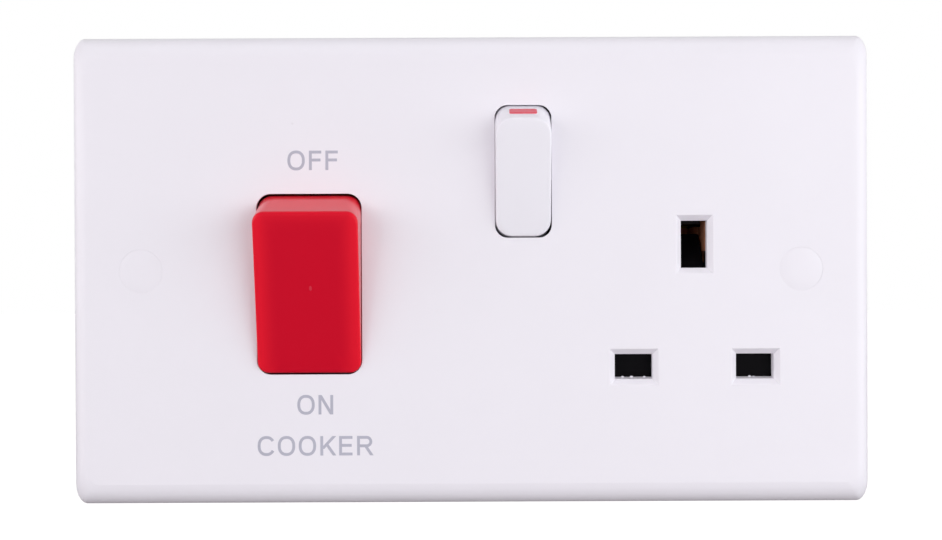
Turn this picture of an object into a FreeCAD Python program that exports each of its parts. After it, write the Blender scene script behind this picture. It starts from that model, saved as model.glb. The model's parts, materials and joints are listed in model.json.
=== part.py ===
import FreeCAD
import Part
import math
import os

# Cooker control unit: a double-pole rocker switch and a switched, shuttered socket on one twin wall plate.
# x points right, y points into the wall, z points up. The origin is the plate centre on the wall plane.
# Sizes are in millimetres and angles in degrees.

# Wall plate
plate_width = 146.0
plate_height = 86.0
plate_depth = 9.0
face_thickness = 2.6
rim_thickness = 2.4
plate_corner_width = 1.8
plate_corner_height = 3.8
side_roll = 2.8
top_roll = 4.0
roll_steps = 6
rib_thickness = 1.6
rib_setback = 1.2

# Fixing holes and their caps
fixing_centres = 120.6
fixing_hole_radius = 2.1
counterbore_radius = 3.95
boss_wall = 2.0
boss_floor = 2.5
cap_clearance = 0.03
cap_top = 1.2
cap_skirt = 2.2
cap_wall = 0.9
cap_edge = 0.2

# Rocker openings: place, size and hinge of each switch
cooker_x = -29.53
cooker_z = -2.47
cooker_hole_width = 19.2
cooker_hole_height = 33.0
cooker_hole_corner = 2.6
cooker_pivot_depth = 3.2
cooker_tilt = 13.3
cooker_end_gap = 0.45
cooker_press_gap = 0.24
cooker_trunnion_radius = 1.6
socket_x = 9.6
socket_z = 17.97
socket_hole_width = 10.35
socket_hole_height = 24.2
socket_hole_corner = 2.3
socket_pivot_depth = 3.7
socket_tilt = 12.0
socket_end_gap = 0.3
socket_press_gap = 0.2
socket_trunnion_radius = 1.4
hole_land = 0.8
relief_gap = 0.4
flush_proud = 0.25

# Rockers
rocker_side_gap = 0.12
rocker_draft = 0.25
rocker_edge = 0.55
rocker_wall = 1.7
corner_steps = 5
rocker_face_wall = 2.0
skirt_back = 3.0
trunnion_reach = 2.1
trunnion_clearance = 0.1
flash_width = 5.0
flash_height = 1.9
flash_thickness = 0.7
flash_setback = 2.25

# Spring plungers and contact arms
pole_spacing = 9.2
plunger_radius = 1.7
plunger_clearance = 0.05
plunger_back = 0.8
plunger_nose = 1.4
plunger_tip = 0.5
barrel_wall = 0.9
barrel_end = 5.4
tip_gap = 0.2
arm_half_length = 10.5
arm_width = 4.8
arm_thickness = 1.2
arm_rise = 1.4
arm_bend = 8.0
bead_radius = 1.2
bead_clearance = 0.05
button_radius = 1.8
button_height = 0.8
button_offset = 8.5
contact_gap = 0.05
coil_wire = 0.4
coil_turns = 4
coil_sides = 8

# Metal strips, all at one level behind the arms
strip_front = 10.2
strip_thickness = 1.2
strip_length = 24.0
cradle_half = 2.2
fixed_strip_start = 6.5
link_width = 4.0
link_thickness = 1.0

# Cooker switch moulding
base_half_width = 20.5
base_half_height = 33.5
base_rear = 16.0
base_corner = 1.5
chamber_side_gap = 0.7
chamber_end_gap = 0.9
barrier_thickness = 1.2
barrier_front = 2.0
screw_offset = 16.5
fit_gap = 0.15

# Cable terminals
terminal_offset = 8.5
terminal_width = 11.0
terminal_start = 19.8
terminal_length = 11.8
terminal_depth = 11.0
cable_bore = 2.9
tower_start = 18.3
tower_rear = 27.0
tower_lip = 1.75
cable_notch = 3.6
clamp_radius = 1.9
clamp_pitch = 6.2
clamp_head_radius = 2.8
clamp_head = 2.1
clamp_open = 2.0
slot_width = 0.9
slot_depth = 0.9
screw_sides = 10

# Screws that hold the mouldings to the plate
post_radius = 3.0
post_setback = 0.5
post_room = 0.3
pilot_radius = 1.5
pilot_bite = 0.05
hole_radius = 1.65
head_radius = 2.9
head_height = 2.0
head_seat = 3.0

# Socket outlet: pin holes, shutter and clips
earth_x = 40.85
earth_z = 4.55
pin_pitch = 22.23
earth_slot_width = 4.75
earth_slot_height = 8.65
pin_slot_width = 6.9
pin_slot_height = 4.3
slot_splay = 1.0
slot_splay_depth = 1.1
shutter_gap = 0.2
shutter_thickness = 1.8
shutter_half_width = 15.6
shutter_height = 6.6
shutter_stem_width = 4.2
shutter_travel = 6.0
shutter_cover = 3.5
ramp_start = 0.4
ramp_depth = 6.2
shutter_coil_radius = 0.62
shutter_coil_wire = 0.3
clip_metal = 0.8
clip_throat = 1.7
clip_mouth = 2.7
clip_room = 2.4
clip_width = 5.6
clip_chamber_gap = 0.5
earth_leaf_reach = 2.45
earth_leaf_setback = 0.9
earth_leaf_drop = 1.2
earth_leaf_lap = 0.6
earth_leaf_gap = 0.3
earth_clip_extra = 0.6
earth_room_rise = 0.75

# Socket moulding and its rear cover
socket_base_left = 1.0
socket_base_right = 59.0
socket_base_top = 33.0
socket_base_bottom = -29.0
socket_waist_right = 54.0
socket_shoulder_right = 46.5
socket_waist_low = -8.5
socket_waist_high = 13.5
cover_thickness = 2.0
groove_front = 14.4
socket_screws = [(20.5, -24.5), (20.5, 4.0), (49.5, -3.0)]

# Earth terminal
earth_block_x = 36.0
earth_block_width = 16.5
earth_block_start = 17.5
earth_block_length = 11.0
earth_block_depth = 8.2
earth_bore = 2.3
earth_bore_pitch = 8.4
core_room = 0.6
earth_clamp_radius = 1.7
earth_clamp_head = 1.7
earth_strap_width = 5.0
earth_web = 14.0
earth_tower_wall = 1.6
earth_tower_rear = 26.5

# Levels and places that follow from the sizes above
front_y = -plate_depth
inner_y = front_y + face_thickness
half_width = plate_width / 2
half_height = plate_height / 2
floor_y = strip_front + strip_thickness
arm_pivot_y = (strip_front - 2 * button_height - contact_gap - arm_thickness
               + arm_rise * math.cos(math.radians(arm_bend)))
line_pole_x = cooker_x + pole_spacing / 2
neutral_pole_x = cooker_x - pole_spacing / 2
line_pin_x = earth_x + pin_pitch / 2
neutral_pin_x = earth_x - pin_pitch / 2
pin_z = earth_z - pin_pitch
shutter_front = inner_y + shutter_gap
shutter_back = shutter_front + shutter_thickness
shutter_bottom = pin_z + shutter_cover - shutter_height
shutter_floor = shutter_bottom - shutter_travel - 0.6
spring_seat = pin_z + shutter_cover + 2.5
line_link_z = -8.5
line_link_x = -3.0
line_link_top = 8.0
neutral_link_z = -16.0
neutral_link_y = strip_front - 2 * link_thickness
earth_strap_y = earth_web + clip_metal
earth_block_y = earth_strap_y + link_thickness
bore_y = floor_y + terminal_depth / 2
earth_bore_y = earth_block_y + earth_bore + 1.4
cover_y = base_rear


def vec(x, y, z):
    return FreeCAD.Vector(x, y, z)


def box(x0, x1, y0, y1, z0, z1):
    return Part.makeBox(x1 - x0, y1 - y0, z1 - z0, vec(x0, y0, z0))


def rod(radius, start, end):
    return Part.makeCylinder(radius, (end - start).Length, start, end - start)


def rod_y(radius, x, z, y0, y1):
    return rod(radius, vec(x, y0, z), vec(x, y1, z))


def ring(radius, x, z):
    turns = [2 * math.pi * i / screw_sides for i in range(screw_sides)]
    return [(x + radius * math.cos(turn), z + radius * math.sin(turn), 0) for turn in turns]


def stud_y(radius, x, z, y0, y1):
    # Many-sided bar along y for small fasteners, their holes and contact buttons.
    return prism(ring(radius, x, z), "xz", y0, y1)


def in_space(plane, u, v, level):
    if plane == "xy":
        return vec(u, v, level)
    if plane == "xz":
        return vec(u, level, v)
    return vec(level, u, v)


def outline(corners, plane, level):
    # Closed wire through (u, v, radius) corners: a radius above zero rounds its corner with a tangent arc,
    # and one below zero cuts it off that far from the corner.
    starts = []
    arcs = []
    ends = []
    count = len(corners)
    for i, (u, v, radius) in enumerate(corners):
        before = corners[i - 1]
        after = corners[(i + 1) % count]
        here = vec(u, v, 0)
        back = (vec(before[0], before[1], 0) - here).normalize()
        ahead = (vec(after[0], after[1], 0) - here).normalize()
        if radius <= 0:
            starts.append(here - back * radius)
            ends.append(here - ahead * radius)
            arcs.append(None)
            continue
        half = back.getAngle(ahead) / 2
        reach = radius / math.tan(half)
        middle = (back + ahead).normalize() * (radius / math.sin(half) - radius)
        starts.append(here + back * reach)
        ends.append(here + ahead * reach)
        arcs.append(here + middle)
    edges = []
    for i in range(count):
        a = in_space(plane, starts[i].x, starts[i].y, level)
        b = in_space(plane, ends[i].x, ends[i].y, level)
        if arcs[i] is not None:
            m = in_space(plane, arcs[i].x, arcs[i].y, level)
            edges.append(Part.Arc(a, m, b).toShape())
        elif (b - a).Length > 1e-6:
            edges.append(Part.makeLine(a, b))
        following = starts[(i + 1) % count]
        c = in_space(plane, following.x, following.y, level)
        if (c - b).Length > 1e-6:
            edges.append(Part.makeLine(b, c))
    return Part.Wire(edges)


def prism(corners, plane, start, end):
    along = in_space(plane, 0, 0, end - start)
    return Part.Face(outline(corners, plane, start)).extrude(along)


def rect(u0, u1, v0, v1, radius=0.0):
    return [(u0, v0, radius), (u1, v0, radius), (u1, v1, radius), (u0, v1, radius)]


def window(x, z, width, height, radius):
    return rect(x - width / 2, x + width / 2, z - height / 2, z + height / 2, radius)


def facet_window(width, height, radius):
    # Rounded window about the origin whose corners are short straight steps.
    points = []
    for quarter, (sx, sz) in enumerate(((1, 1), (-1, 1), (-1, -1), (1, -1))):
        for step in range(corner_steps + 1):
            turn = math.pi / 2 * (quarter + step / corner_steps)
            x = sx * (width / 2 - radius) + radius * math.cos(turn)
            z = sz * (height / 2 - radius) + radius * math.sin(turn)
            points.append((x, z, 0))
    return points


def patch(points):
    # One flat face where the four points lie in a plane, or else two triangles.
    a, b, c, d = points
    normal = (b - a).cross(c - a).normalize()
    if abs((d - a).dot(normal)) < 1e-6:
        return [Part.Face(Part.makePolygon([a, b, c, d, a]))]
    return [Part.Face(Part.makePolygon([a, b, c, a])), Part.Face(Part.makePolygon([a, c, d, a]))]


def through_rings(rings):
    # Flat-sided solid through closed rings of points, capped at both ends.
    faces = [Part.Face(Part.makePolygon(end + end[:1])) for end in (rings[0], rings[-1])]
    for one, two in zip(rings, rings[1:]):
        for k in range(len(one)):
            m = (k + 1) % len(one)
            faces += patch([one[k], one[m], two[m], two[k]])
    solid = Part.Solid(Part.Shell(faces))
    if solid.Volume < 0:
        solid.reverse()
    return solid


def tapered(sections):
    # Flat-sided solid through (corners, y) sections that all have the same number of corners.
    return through_rings([[vec(x, y, z) for x, z, radius in corners] for corners, y in sections])


def strip(path, thickness, bend=0.3):
    # Corners of a bent strip: the path is one face, and the metal lies on its left side.
    near = []
    far = []
    for i, (u, v) in enumerate(path):
        here = vec(u, v, 0)
        legs = []
        if i > 0:
            legs.append((here - vec(path[i - 1][0], path[i - 1][1], 0)).normalize())
        if i < len(path) - 1:
            legs.append((vec(path[i + 1][0], path[i + 1][1], 0) - here).normalize())
        normals = [vec(-leg.y, leg.x, 0) for leg in legs]
        side = normals[0] + normals[-1]
        side = side * (thickness / side.dot(normals[0]))
        turn = legs[0].cross(legs[-1]).z
        inner = bend
        outer = bend + thickness
        if abs(turn) < 1e-6 or bend <= 0:
            inner = 0.0
            outer = 0.0
        near.append((u, v, outer if turn > 0 else inner))
        far.append((u + side.x, v + side.y, inner if turn > 0 else outer))
    return near + far[::-1]


def coil(radius, wire, length, turns):
    # Square-wire compression spring along z from the origin, with its wire inside the stated length.
    stations = turns * coil_sides
    rise = (length - wire) / stations
    rings = []
    for i in range(stations + 1):
        angle = 2 * math.pi * i / coil_sides
        low = rise * i
        section = []
        for reach, height in ((-0.5, 0), (0.5, 0), (0.5, 1), (-0.5, 1)):
            r = radius + reach * wire
            section.append(vec(r * math.cos(angle), r * math.sin(angle), low + height * wire))
        rings.append(section)
    return through_rings(rings)


def moved(shape, x, y, z):
    return shape.translated(vec(x, y, z))


def tilted(shape, angle, y=0.0, z=0.0):
    return shape.rotated(vec(0, y, z), vec(1, 0, 0), angle)


def slotted_screw(radius, tip, head_y, head_r, head_h):
    # Screw along y with its tip in front and its slotted head to the rear.
    shank = stud_y(radius, 0, 0, tip, head_y)
    head = stud_y(head_r, 0, 0, head_y, head_y + head_h)
    top = head_y + head_h
    slot = box(-head_r, head_r, top - slot_depth, top, -slot_width / 2, slot_width / 2)
    return shank.fuse(head).cut(slot)


class Rocker:
    # One switch rocker: sizes follow from its opening, hinge depth and tilt.
    def __init__(self, x, z, width, height, corner, depth, tilt, end_gap, press_gap, pin):
        turn = math.radians(tilt)
        self.x = x
        self.z = z
        self.width = width
        self.height = height
        self.corner = corner
        self.tilt = tilt
        self.pin = pin
        self.pivot_y = front_y + depth
        # The pressed end of the face lies almost flush with the plate.
        drop = height / 2 - press_gap
        proud = depth + flush_proud
        self.face_half = drop * math.cos(turn) - proud * math.sin(turn)
        self.face_reach = drop * math.sin(turn) + proud * math.cos(turn)
        # The raised end leaves the opening with its shoulder at plate level.
        rise = height / 2 - end_gap
        self.shoulder_half = rise * math.cos(turn) + depth * math.sin(turn)
        self.shoulder_y = rise * math.sin(turn) - depth * math.cos(turn)
        self.skirt = math.hypot(rise, depth)
        self.half = width / 2 - rocker_side_gap
        self.face_half_width = self.half - rocker_draft
        self.pin_half = self.half + trunnion_reach
        self.relief_half = max(self.skirt, height / 2) + relief_gap
        self.chamber_half = self.half + chamber_side_gap
        self.chamber_end = self.skirt + chamber_end_gap
        self.plunger_length = arm_pivot_y - arm_rise - tip_gap - self.pivot_y
        self.bore_bottom = -self.face_reach + rocker_face_wall


cooker = Rocker(cooker_x, cooker_z, cooker_hole_width, cooker_hole_height, cooker_hole_corner,
                cooker_pivot_depth, cooker_tilt, cooker_end_gap, cooker_press_gap, cooker_trunnion_radius)
socket = Rocker(socket_x, socket_z, socket_hole_width, socket_hole_height, socket_hole_corner,
                socket_pivot_depth, socket_tilt, socket_end_gap, socket_press_gap, socket_trunnion_radius)
switch_screws = [(cooker_x + side * screw_offset, cooker_z) for side in (-1, 1)]


def rocker_opening(r):
    # Cutter for one opening: straight land, wider relief and hinge pin grooves.
    land = prism(window(r.x, r.z, r.width, r.height, r.corner), "xz", front_y, inner_y)
    relief = prism(window(r.x, r.z, r.width + relief_gap, 2 * r.relief_half, r.corner), "xz",
                   front_y + hole_land, inner_y)
    reach = r.pin_half + trunnion_clearance
    left = vec(r.x - reach, r.pivot_y, r.z)
    right = vec(r.x + reach, r.pivot_y, r.z)
    return [land, relief, rod(r.pin + trunnion_clearance, left, right)]


def pin_opening(x, z, width, height):
    # Cutter for one pin hole with a splayed mouth.
    outer = window(x, z, width + 2 * slot_splay, height + 2 * slot_splay, 0)
    inner = window(x, z, width, height, 0)
    neck = front_y + slot_splay_depth
    return [tapered([(outer, front_y), (inner, neck)]), prism(inner, "xz", neck, inner_y)]


def plate_ring(turn):
    # Ring of the rolled plate edge: no turn at the flat face, a quarter turn where the straight side starts.
    # The corners are oval and the roll is deeper at the top and bottom than at the sides.
    wide = half_width - side_roll * (1 - math.sin(turn))
    tall = half_height - top_roll * (1 - math.sin(turn))
    ring = []
    for quarter, (sx, sz) in enumerate(((1, 1), (-1, 1), (-1, -1), (1, -1))):
        for step in range(corner_steps + 1):
            along = math.pi / 2 * (quarter + step / corner_steps)
            roll = side_roll * math.cos(along) ** 2 + top_roll * math.sin(along) ** 2
            x = sx * (wide - plate_corner_width) + plate_corner_width * math.cos(along)
            z = sz * (tall - plate_corner_height) + plate_corner_height * math.sin(along)
            ring.append(vec(x, front_y + roll * (1 - math.cos(turn)), z))
    return ring


def plate_shell():
    # Tray with rolled front edges, wider at the top and bottom than at the sides.
    rings = [plate_ring(math.pi / 2 * step / roll_steps) for step in range(roll_steps + 1)]
    rings.append([vec(point.x, 0, point.z) for point in rings[-1]])
    inside = window(0, 0, plate_width - 2 * rim_thickness, plate_height - 2 * rim_thickness, 0)
    return through_rings(rings).cut(prism(inside, "xz", inner_y, 0))


def front_plate():
    added = []
    cutters = []
    for side in (-1, 1):
        x = side * fixing_centres / 2
        added.append(stud_y(counterbore_radius + boss_wall, x, 0, inner_y - 0.5, 0))
        edge = side * (half_width - rim_thickness / 2)
        near = side * (fixing_centres / 2 + counterbore_radius + boss_wall / 2)
        added.append(box(min(edge, near), max(edge, near), inner_y - 0.5, -rib_setback,
                         -rib_thickness / 2, rib_thickness / 2))
        cutters.append(rod_y(counterbore_radius, x, 0, front_y, -boss_floor))
        cutters.append(rod_y(fixing_hole_radius, x, 0, -boss_floor, 0))
    for x, z in switch_screws + socket_screws:
        added.append(stud_y(post_radius, x, z, inner_y - 0.5, -post_setback))
        cutters.append(stud_y(pilot_radius, x, z, inner_y + 0.6, -post_setback))
    rib_x = (cooker_x + base_half_width + socket_base_left) / 2
    rib_end = half_height - rim_thickness / 2
    added.append(box(rib_x - rib_thickness / 2, rib_x + rib_thickness / 2, inner_y - 0.5, -rib_setback,
                     -rib_end, rib_end))
    cutters += rocker_opening(cooker) + rocker_opening(socket)
    cutters += pin_opening(earth_x, earth_z, earth_slot_width, earth_slot_height)
    for x in (neutral_pin_x, line_pin_x):
        cutters += pin_opening(x, pin_z, pin_slot_width, pin_slot_height)
    return plate_shell().fuse(added).cut(cutters).removeSplitter()


def screw_caps():
    caps = []
    radius = counterbore_radius - cap_clearance
    for side in (-1, 1):
        x = side * fixing_centres / 2
        rear = front_y + cap_top + cap_skirt
        edge = Part.makeCone(radius - cap_edge, radius, cap_edge, vec(x, front_y, 0), vec(0, 1, 0))
        cap = edge.fuse(rod_y(radius, x, 0, front_y + cap_edge, rear))
        caps.append(cap.cut(stud_y(radius - cap_wall, x, 0, front_y + cap_top, rear)))
    return Part.makeCompound(caps)


def rocker_blank(r):
    # Outside of the rocker about its hinge line: tapered cap above the shoulder, round skirt below it.
    sections = []
    for inset, drop in ((1.0, 0.0), (0.3, 0.3), (0.0, 1.0)):
        gap = inset * rocker_edge
        face = facet_window(2 * (r.face_half_width - gap), 2 * (r.face_half - gap), r.corner - 0.5 - gap / 2)
        sections.append((face, -r.face_reach + drop * rocker_edge))
    shoulder = facet_window(2 * r.half, 2 * r.shoulder_half, r.corner)
    cap = tapered(sections + [(shoulder, r.shoulder_y)])
    skirt = prism(shoulder, "xz", r.shoulder_y, skirt_back)
    skirt = skirt.common(rod(r.skirt, vec(-r.half, 0, 0), vec(r.half, 0, 0)))
    return cap.fuse(skirt)


def rocker(r, poles):
    inside = window(0, 0, 2 * (r.face_half_width - rocker_wall), 2 * (r.face_half - rocker_wall), 0)
    body = rocker_blank(r).cut(prism(inside, "xz", r.bore_bottom, skirt_back))
    pins = rod(r.pin, vec(-r.pin_half, 0, 0), vec(r.pin_half, 0, 0))
    core = r.face_half_width - rocker_wall
    pins = pins.cut(box(-core, core, -r.pin, r.pin, -r.pin, r.pin))
    bore = plunger_radius + plunger_clearance
    barrels = [stud_y(bore + barrel_wall, x, 0, r.bore_bottom - 0.3, barrel_end) for x in poles]
    bores = [rod_y(bore, x, 0, r.bore_bottom, barrel_end) for x in poles]
    body = body.fuse([pins] + barrels).cut(bores).removeSplitter()
    return in_place(body, r)


def in_place(shape, r):
    # From hinge-line coordinates to the ON position in the plate.
    return moved(tilted(shape, r.tilt), r.x, r.pivot_y, r.z)


def flash_block(r, gap):
    # Small marker set into the raised end face of the rocker.
    slope = math.degrees(math.atan2(r.shoulder_half - r.face_half, r.face_reach + r.shoulder_y))
    half = flash_width / 2 + gap
    block = box(-half, half, -gap, flash_height + gap, -flash_thickness - gap, 0)
    back = flash_setback * math.tan(math.radians(slope))
    return moved(tilted(block, slope), 0, flash_setback - r.face_reach, r.face_half + back)


def socket_rocker():
    whole = rocker(socket, [0])
    return whole.cut(in_place(flash_block(socket, 0.02), socket))


def plunger(r, x):
    length = r.plunger_length
    body = stud_y(plunger_radius, x, 0, plunger_back, length - plunger_nose)
    tip = tapered([(ring(plunger_radius, x, 0), length - plunger_nose), (ring(plunger_tip, x, 0), length)])
    nose = stud_y(0.6, x, 0, plunger_back - 1.2, plunger_back)
    return in_place(body.fuse([tip, nose]).removeSplitter(), r)


def plunger_spring(r, x):
    spring = coil(plunger_radius - 0.45, coil_wire, plunger_back - r.bore_bottom, coil_turns)
    spring = spring.rotated(vec(0, 0, 0), vec(1, 0, 0), -90)
    return in_place(moved(spring, x, r.bore_bottom, 0), r)


def contact_arm(x, z):
    # Bent see-saw arm in its ON position, with a bead on its hinge line and a contact button at the top.
    lift = arm_half_length * math.tan(math.radians(arm_bend))
    half = arm_width / 2
    path = [(-arm_rise - lift, arm_half_length), (-arm_rise, 0), (-arm_rise - lift, -arm_half_length)]
    arm = prism(strip(path, arm_thickness, 0), "yz", -half, half)
    arm = arm.fuse(rod(bead_radius, vec(-half, 0, 0), vec(half, 0, 0)))
    arm = tilted(arm, -arm_bend)
    back = -arm_rise * math.cos(math.radians(arm_bend)) + arm_thickness
    button = stud_y(button_radius, 0, button_offset, back - 0.1, back + button_height)
    return moved(arm.fuse(button).removeSplitter(), x, arm_pivot_y, z)


def fulcrum(x, z, low):
    # Strip with a grooved cradle that carries the arm's bead.
    half = arm_width / 2
    base = box(x - half, x + half, strip_front, floor_y, z - low, z + cradle_half)
    cradle = box(x - half, x + half, arm_pivot_y + 0.25, strip_front, z - cradle_half, z + cradle_half)
    groove = rod(bead_radius + bead_clearance, vec(x - half, arm_pivot_y, z), vec(x + half, arm_pivot_y, z))
    return base.fuse(cradle).cut(groove).removeSplitter()


def contact_button(x, z):
    return stud_y(button_radius, x, z + button_offset, strip_front - button_height, strip_front)


def fixed_contact(x, z):
    half = arm_width / 2
    bar = box(x - half, x + half, strip_front, floor_y, z + fixed_strip_start, z + strip_length + 3)
    return bar.fuse(contact_button(x, z))


def terminal_places():
    # Name, centre x and end of the moulding of each cable terminal.
    return [("supply_terminal_line", cooker_x + terminal_offset, -1),
            ("supply_terminal_neutral", cooker_x - terminal_offset, -1),
            ("load_terminal_line", cooker_x + terminal_offset, 1),
            ("load_terminal_neutral", cooker_x - terminal_offset, 1)]


def terminal_middle(end):
    return cooker_z + end * (terminal_start + terminal_length / 2)


def clamp_places(end):
    return [terminal_middle(end) + side * clamp_pitch / 2 for side in (-1, 1)]


def terminal(x, end):
    half = terminal_width / 2
    middle = terminal_middle(end)
    low = middle - terminal_length / 2
    high = middle + terminal_length / 2
    block = prism(rect(x - half, x + half, floor_y, floor_y + terminal_depth), "xy", low, high)
    cutters = [rod(cable_bore, vec(x, bore_y, low), vec(x, bore_y, high))]
    for z in clamp_places(end):
        cutters.append(stud_y(clamp_radius + 0.05, x, z, bore_y, floor_y + terminal_depth))
    return block.cut(cutters)


def terminal_screws():
    tip = bore_y + cable_bore + fit_gap
    seat = floor_y + terminal_depth + clamp_open
    screw = slotted_screw(clamp_radius, tip, seat, clamp_head_radius, clamp_head)
    screws = []
    for name, x, end in terminal_places():
        for z in clamp_places(end):
            screws.append(moved(screw, x, 0, z))
    return Part.makeCompound(screws)


def hinge_slots(r):
    # Slots open to the front for the two hinge pins, with a round bottom on the hinge line.
    reach = r.pin_half + trunnion_clearance
    radius = r.pin + trunnion_clearance
    round_end = rod(radius, vec(r.x - reach, r.pivot_y, r.z), vec(r.x + reach, r.pivot_y, r.z))
    mouth = box(r.x - reach, r.x + reach, inner_y, r.pivot_y, r.z - radius, r.z + radius)
    return [round_end, mouth]


def line_link_corners(gap):
    # Plan of the line link: from the cooker switch to the right, up between the mouldings, then right again.
    half = link_width / 2 + gap
    start = line_pole_x - arm_width / 2 - gap
    end = socket_x + arm_width / 2 + gap
    return [(start, line_link_z - half, 0), (line_link_x + half, line_link_z - half, 0),
            (line_link_x + half, line_link_top - half, 0), (end, line_link_top - half, 0),
            (end, line_link_top + half, 0), (line_link_x - half, line_link_top + half, 0),
            (line_link_x - half, line_link_z + half, 0), (start, line_link_z + half, 0)]


def line_link():
    return prism(line_link_corners(0), "xz", floor_y, floor_y + link_thickness)


def neutral_link():
    # Jogged link that steps over the line strip and runs to the neutral clip.
    foot = neutral_pole_x - arm_width / 2
    step = neutral_pole_x + arm_width / 2 - 1.0
    end = neutral_pin_x - clip_width / 2
    rear = neutral_link_y + link_thickness
    high = rear + link_thickness
    path = [(foot, high), (step, high), (step + link_thickness, rear), (end, rear)]
    corners = strip(path, -link_thickness, 0.0)
    return prism(corners, "xy", neutral_link_z - link_width / 2, neutral_link_z + link_width / 2)


def switch_base():
    x = cooker_x
    z = cooker_z
    outer = window(x, z, 2 * base_half_width, 2 * base_half_height, -base_corner)
    body = prism(outer, "xz", inner_y, base_rear)
    room = window(x, z, 2 * cooker.chamber_half, 2 * cooker.chamber_end, 0)
    cutters = [prism(room, "xz", inner_y, floor_y)] + hinge_slots(cooker)
    towers = []
    tower_height = base_half_height - tower_start
    for end in (-1, 1):
        middle = z + end * (tower_start + tower_height / 2)
        towers.append(prism(window(x, middle, 2 * base_half_width, tower_height, -base_corner), "xz",
                            base_rear - 1, tower_rear))
    for name, tx, end in terminal_places():
        half = terminal_width / 2 + fit_gap
        near = terminal_start - fit_gap
        far = terminal_start + terminal_length + fit_gap
        low = z + min(end * near, end * far)
        high = z + max(end * near, end * far)
        cutters.append(box(tx - half, tx + half, strip_front, tower_rear, low, high))
        edge = z + end * (base_half_height + 1)
        middle = terminal_middle(end)
        cutters.append(box(tx - cable_notch, tx + cable_notch, bore_y, tower_rear, min(edge, middle),
                           max(edge, middle)))
        cutters.append(rod(cable_notch, vec(tx, bore_y, middle), vec(tx, bore_y, edge)))
    half = arm_width / 2 + 0.05
    for px in (line_pole_x, neutral_pole_x):
        reach = strip_length + 3.2
        cutters.append(box(px - half, px + half, strip_front, floor_y, z - reach, z + reach))
    cutters.append(prism(line_link_corners(0.05), "xz", floor_y, floor_y + link_thickness + 0.05))
    wide = link_width / 2 + 0.2
    side = x + cooker.chamber_half - 0.5
    cutters.append(box(side, x + base_half_width, inner_y, neutral_link_y + link_thickness + 0.05,
                       neutral_link_z - wide, neutral_link_z + wide))
    for sx, sz in switch_screws:
        cutters.append(stud_y(post_radius + post_room, sx, sz, inner_y, -post_setback))
        cutters.append(stud_y(hole_radius, sx, sz, -post_setback, head_seat))
        cutters.append(stud_y(head_radius + 0.3, sx, sz, head_seat, base_rear))
    body = body.fuse(towers).cut(cutters)
    barrier = box(x - barrier_thickness / 2, x + barrier_thickness / 2, barrier_front, floor_y + 0.5,
                  z - cooker.chamber_end - 0.5, z + cooker.chamber_end + 0.5)
    gate = box(x - barrier_thickness, x + barrier_thickness, neutral_link_y - 0.2,
               neutral_link_y + link_thickness + 0.2, neutral_link_z - wide, neutral_link_z + wide)
    return body.fuse(barrier.cut(gate)).removeSplitter()


def switch_base_screws():
    screw = slotted_screw(pilot_radius - pilot_bite, inner_y + 1.0, head_seat, head_radius, head_height)
    return Part.makeCompound([moved(screw, x, 0, z) for x, z in switch_screws])


def shutter():
    # T-shaped slide: the bar covers the line and neutral holes, the stem's ramp waits behind the earth hole.
    top = pin_z + shutter_cover
    bar = box(earth_x - shutter_half_width, earth_x + shutter_half_width, shutter_front, shutter_back,
              shutter_bottom, top)
    stem_half = shutter_stem_width / 2
    back = shutter_front + ramp_depth
    ramp_top = ramp_start + ramp_depth
    stem = prism([(shutter_front, top - 0.5, 0), (shutter_front, ramp_start, 0), (back, ramp_top, 0),
                  (back, ramp_top - 3.5, 0), (shutter_back, -3.5, 0), (shutter_back, top - 0.5, 0)], "yz",
                 earth_x - stem_half, earth_x + stem_half)
    room = shutter_coil_radius + shutter_coil_wire + 0.3
    slot = box(earth_x - room, earth_x + room, shutter_front, shutter_back, shutter_bottom, spring_seat)
    return bar.fuse(stem).cut(slot).removeSplitter()


def shutter_spring():
    spring = coil(shutter_coil_radius, shutter_coil_wire, spring_seat - shutter_floor, coil_turns + 2)
    return moved(spring, earth_x, (shutter_front + shutter_back) / 2, shutter_floor)


def pin_clip(web, mouth_y):
    # Profile of a folded clip: across the pin, and depth; the web joins the leaves at the rear.
    leaf = [(-clip_mouth, mouth_y), (-clip_throat, mouth_y + 3), (-clip_throat, mouth_y + 6.5),
            (-clip_room, web - 2.5), (-clip_room, web)]
    return strip(leaf + [(-u, v) for u, v in leaf[::-1]], clip_metal, 0.0)


def flat_pin_clip(x, web):
    corners = [(v, -u + pin_z, radius) for u, v, radius in pin_clip(web, shutter_back + 1.6)]
    return prism(corners, "yz", x - clip_width / 2, x + clip_width / 2)


def earth_contact_clip():
    # Taller clip; its right leaf runs on beside the shutter's ramp to meet the earth pin first.
    mouth = shutter_front + ramp_depth + 0.8
    half = clip_width / 2 + earth_clip_extra
    corners = [(u + earth_x, v, radius) for u, v, radius in pin_clip(earth_web, mouth)]
    clip = prism(corners, "xy", earth_z - half, earth_z + half)
    near = earth_x + earth_leaf_reach
    far = near + clip_metal
    front = inner_y + earth_leaf_setback
    low = earth_z - earth_leaf_drop
    lap = box(near, far, front, mouth + earth_leaf_lap, low, earth_z + half)
    leaf = box(near, far, front, shutter_front + ramp_depth, low, earth_room_top() - earth_leaf_gap)
    return clip.fuse([lap, leaf]).removeSplitter()


def earth_room_top():
    return earth_z + earth_slot_height / 2 + earth_room_rise


def line_strip_profile(gap):
    # Side view: contact pad, riser through the floor and long limb behind the floor.
    high = socket_z + socket.chamber_end - 0.7
    pad = socket_z + button_offset - button_radius - 0.4
    low = pin_z - link_width / 2 - gap
    front = groove_front + link_thickness
    return [(strip_front, pad, 0), (strip_front, high + gap, 0), (front + gap, high + gap, 0),
            (front + gap, low, 0), (groove_front, low, 0), (groove_front, high - link_thickness - gap, 0),
            (floor_y, high - link_thickness - gap, 0), (floor_y, pad, 0)]


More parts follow.
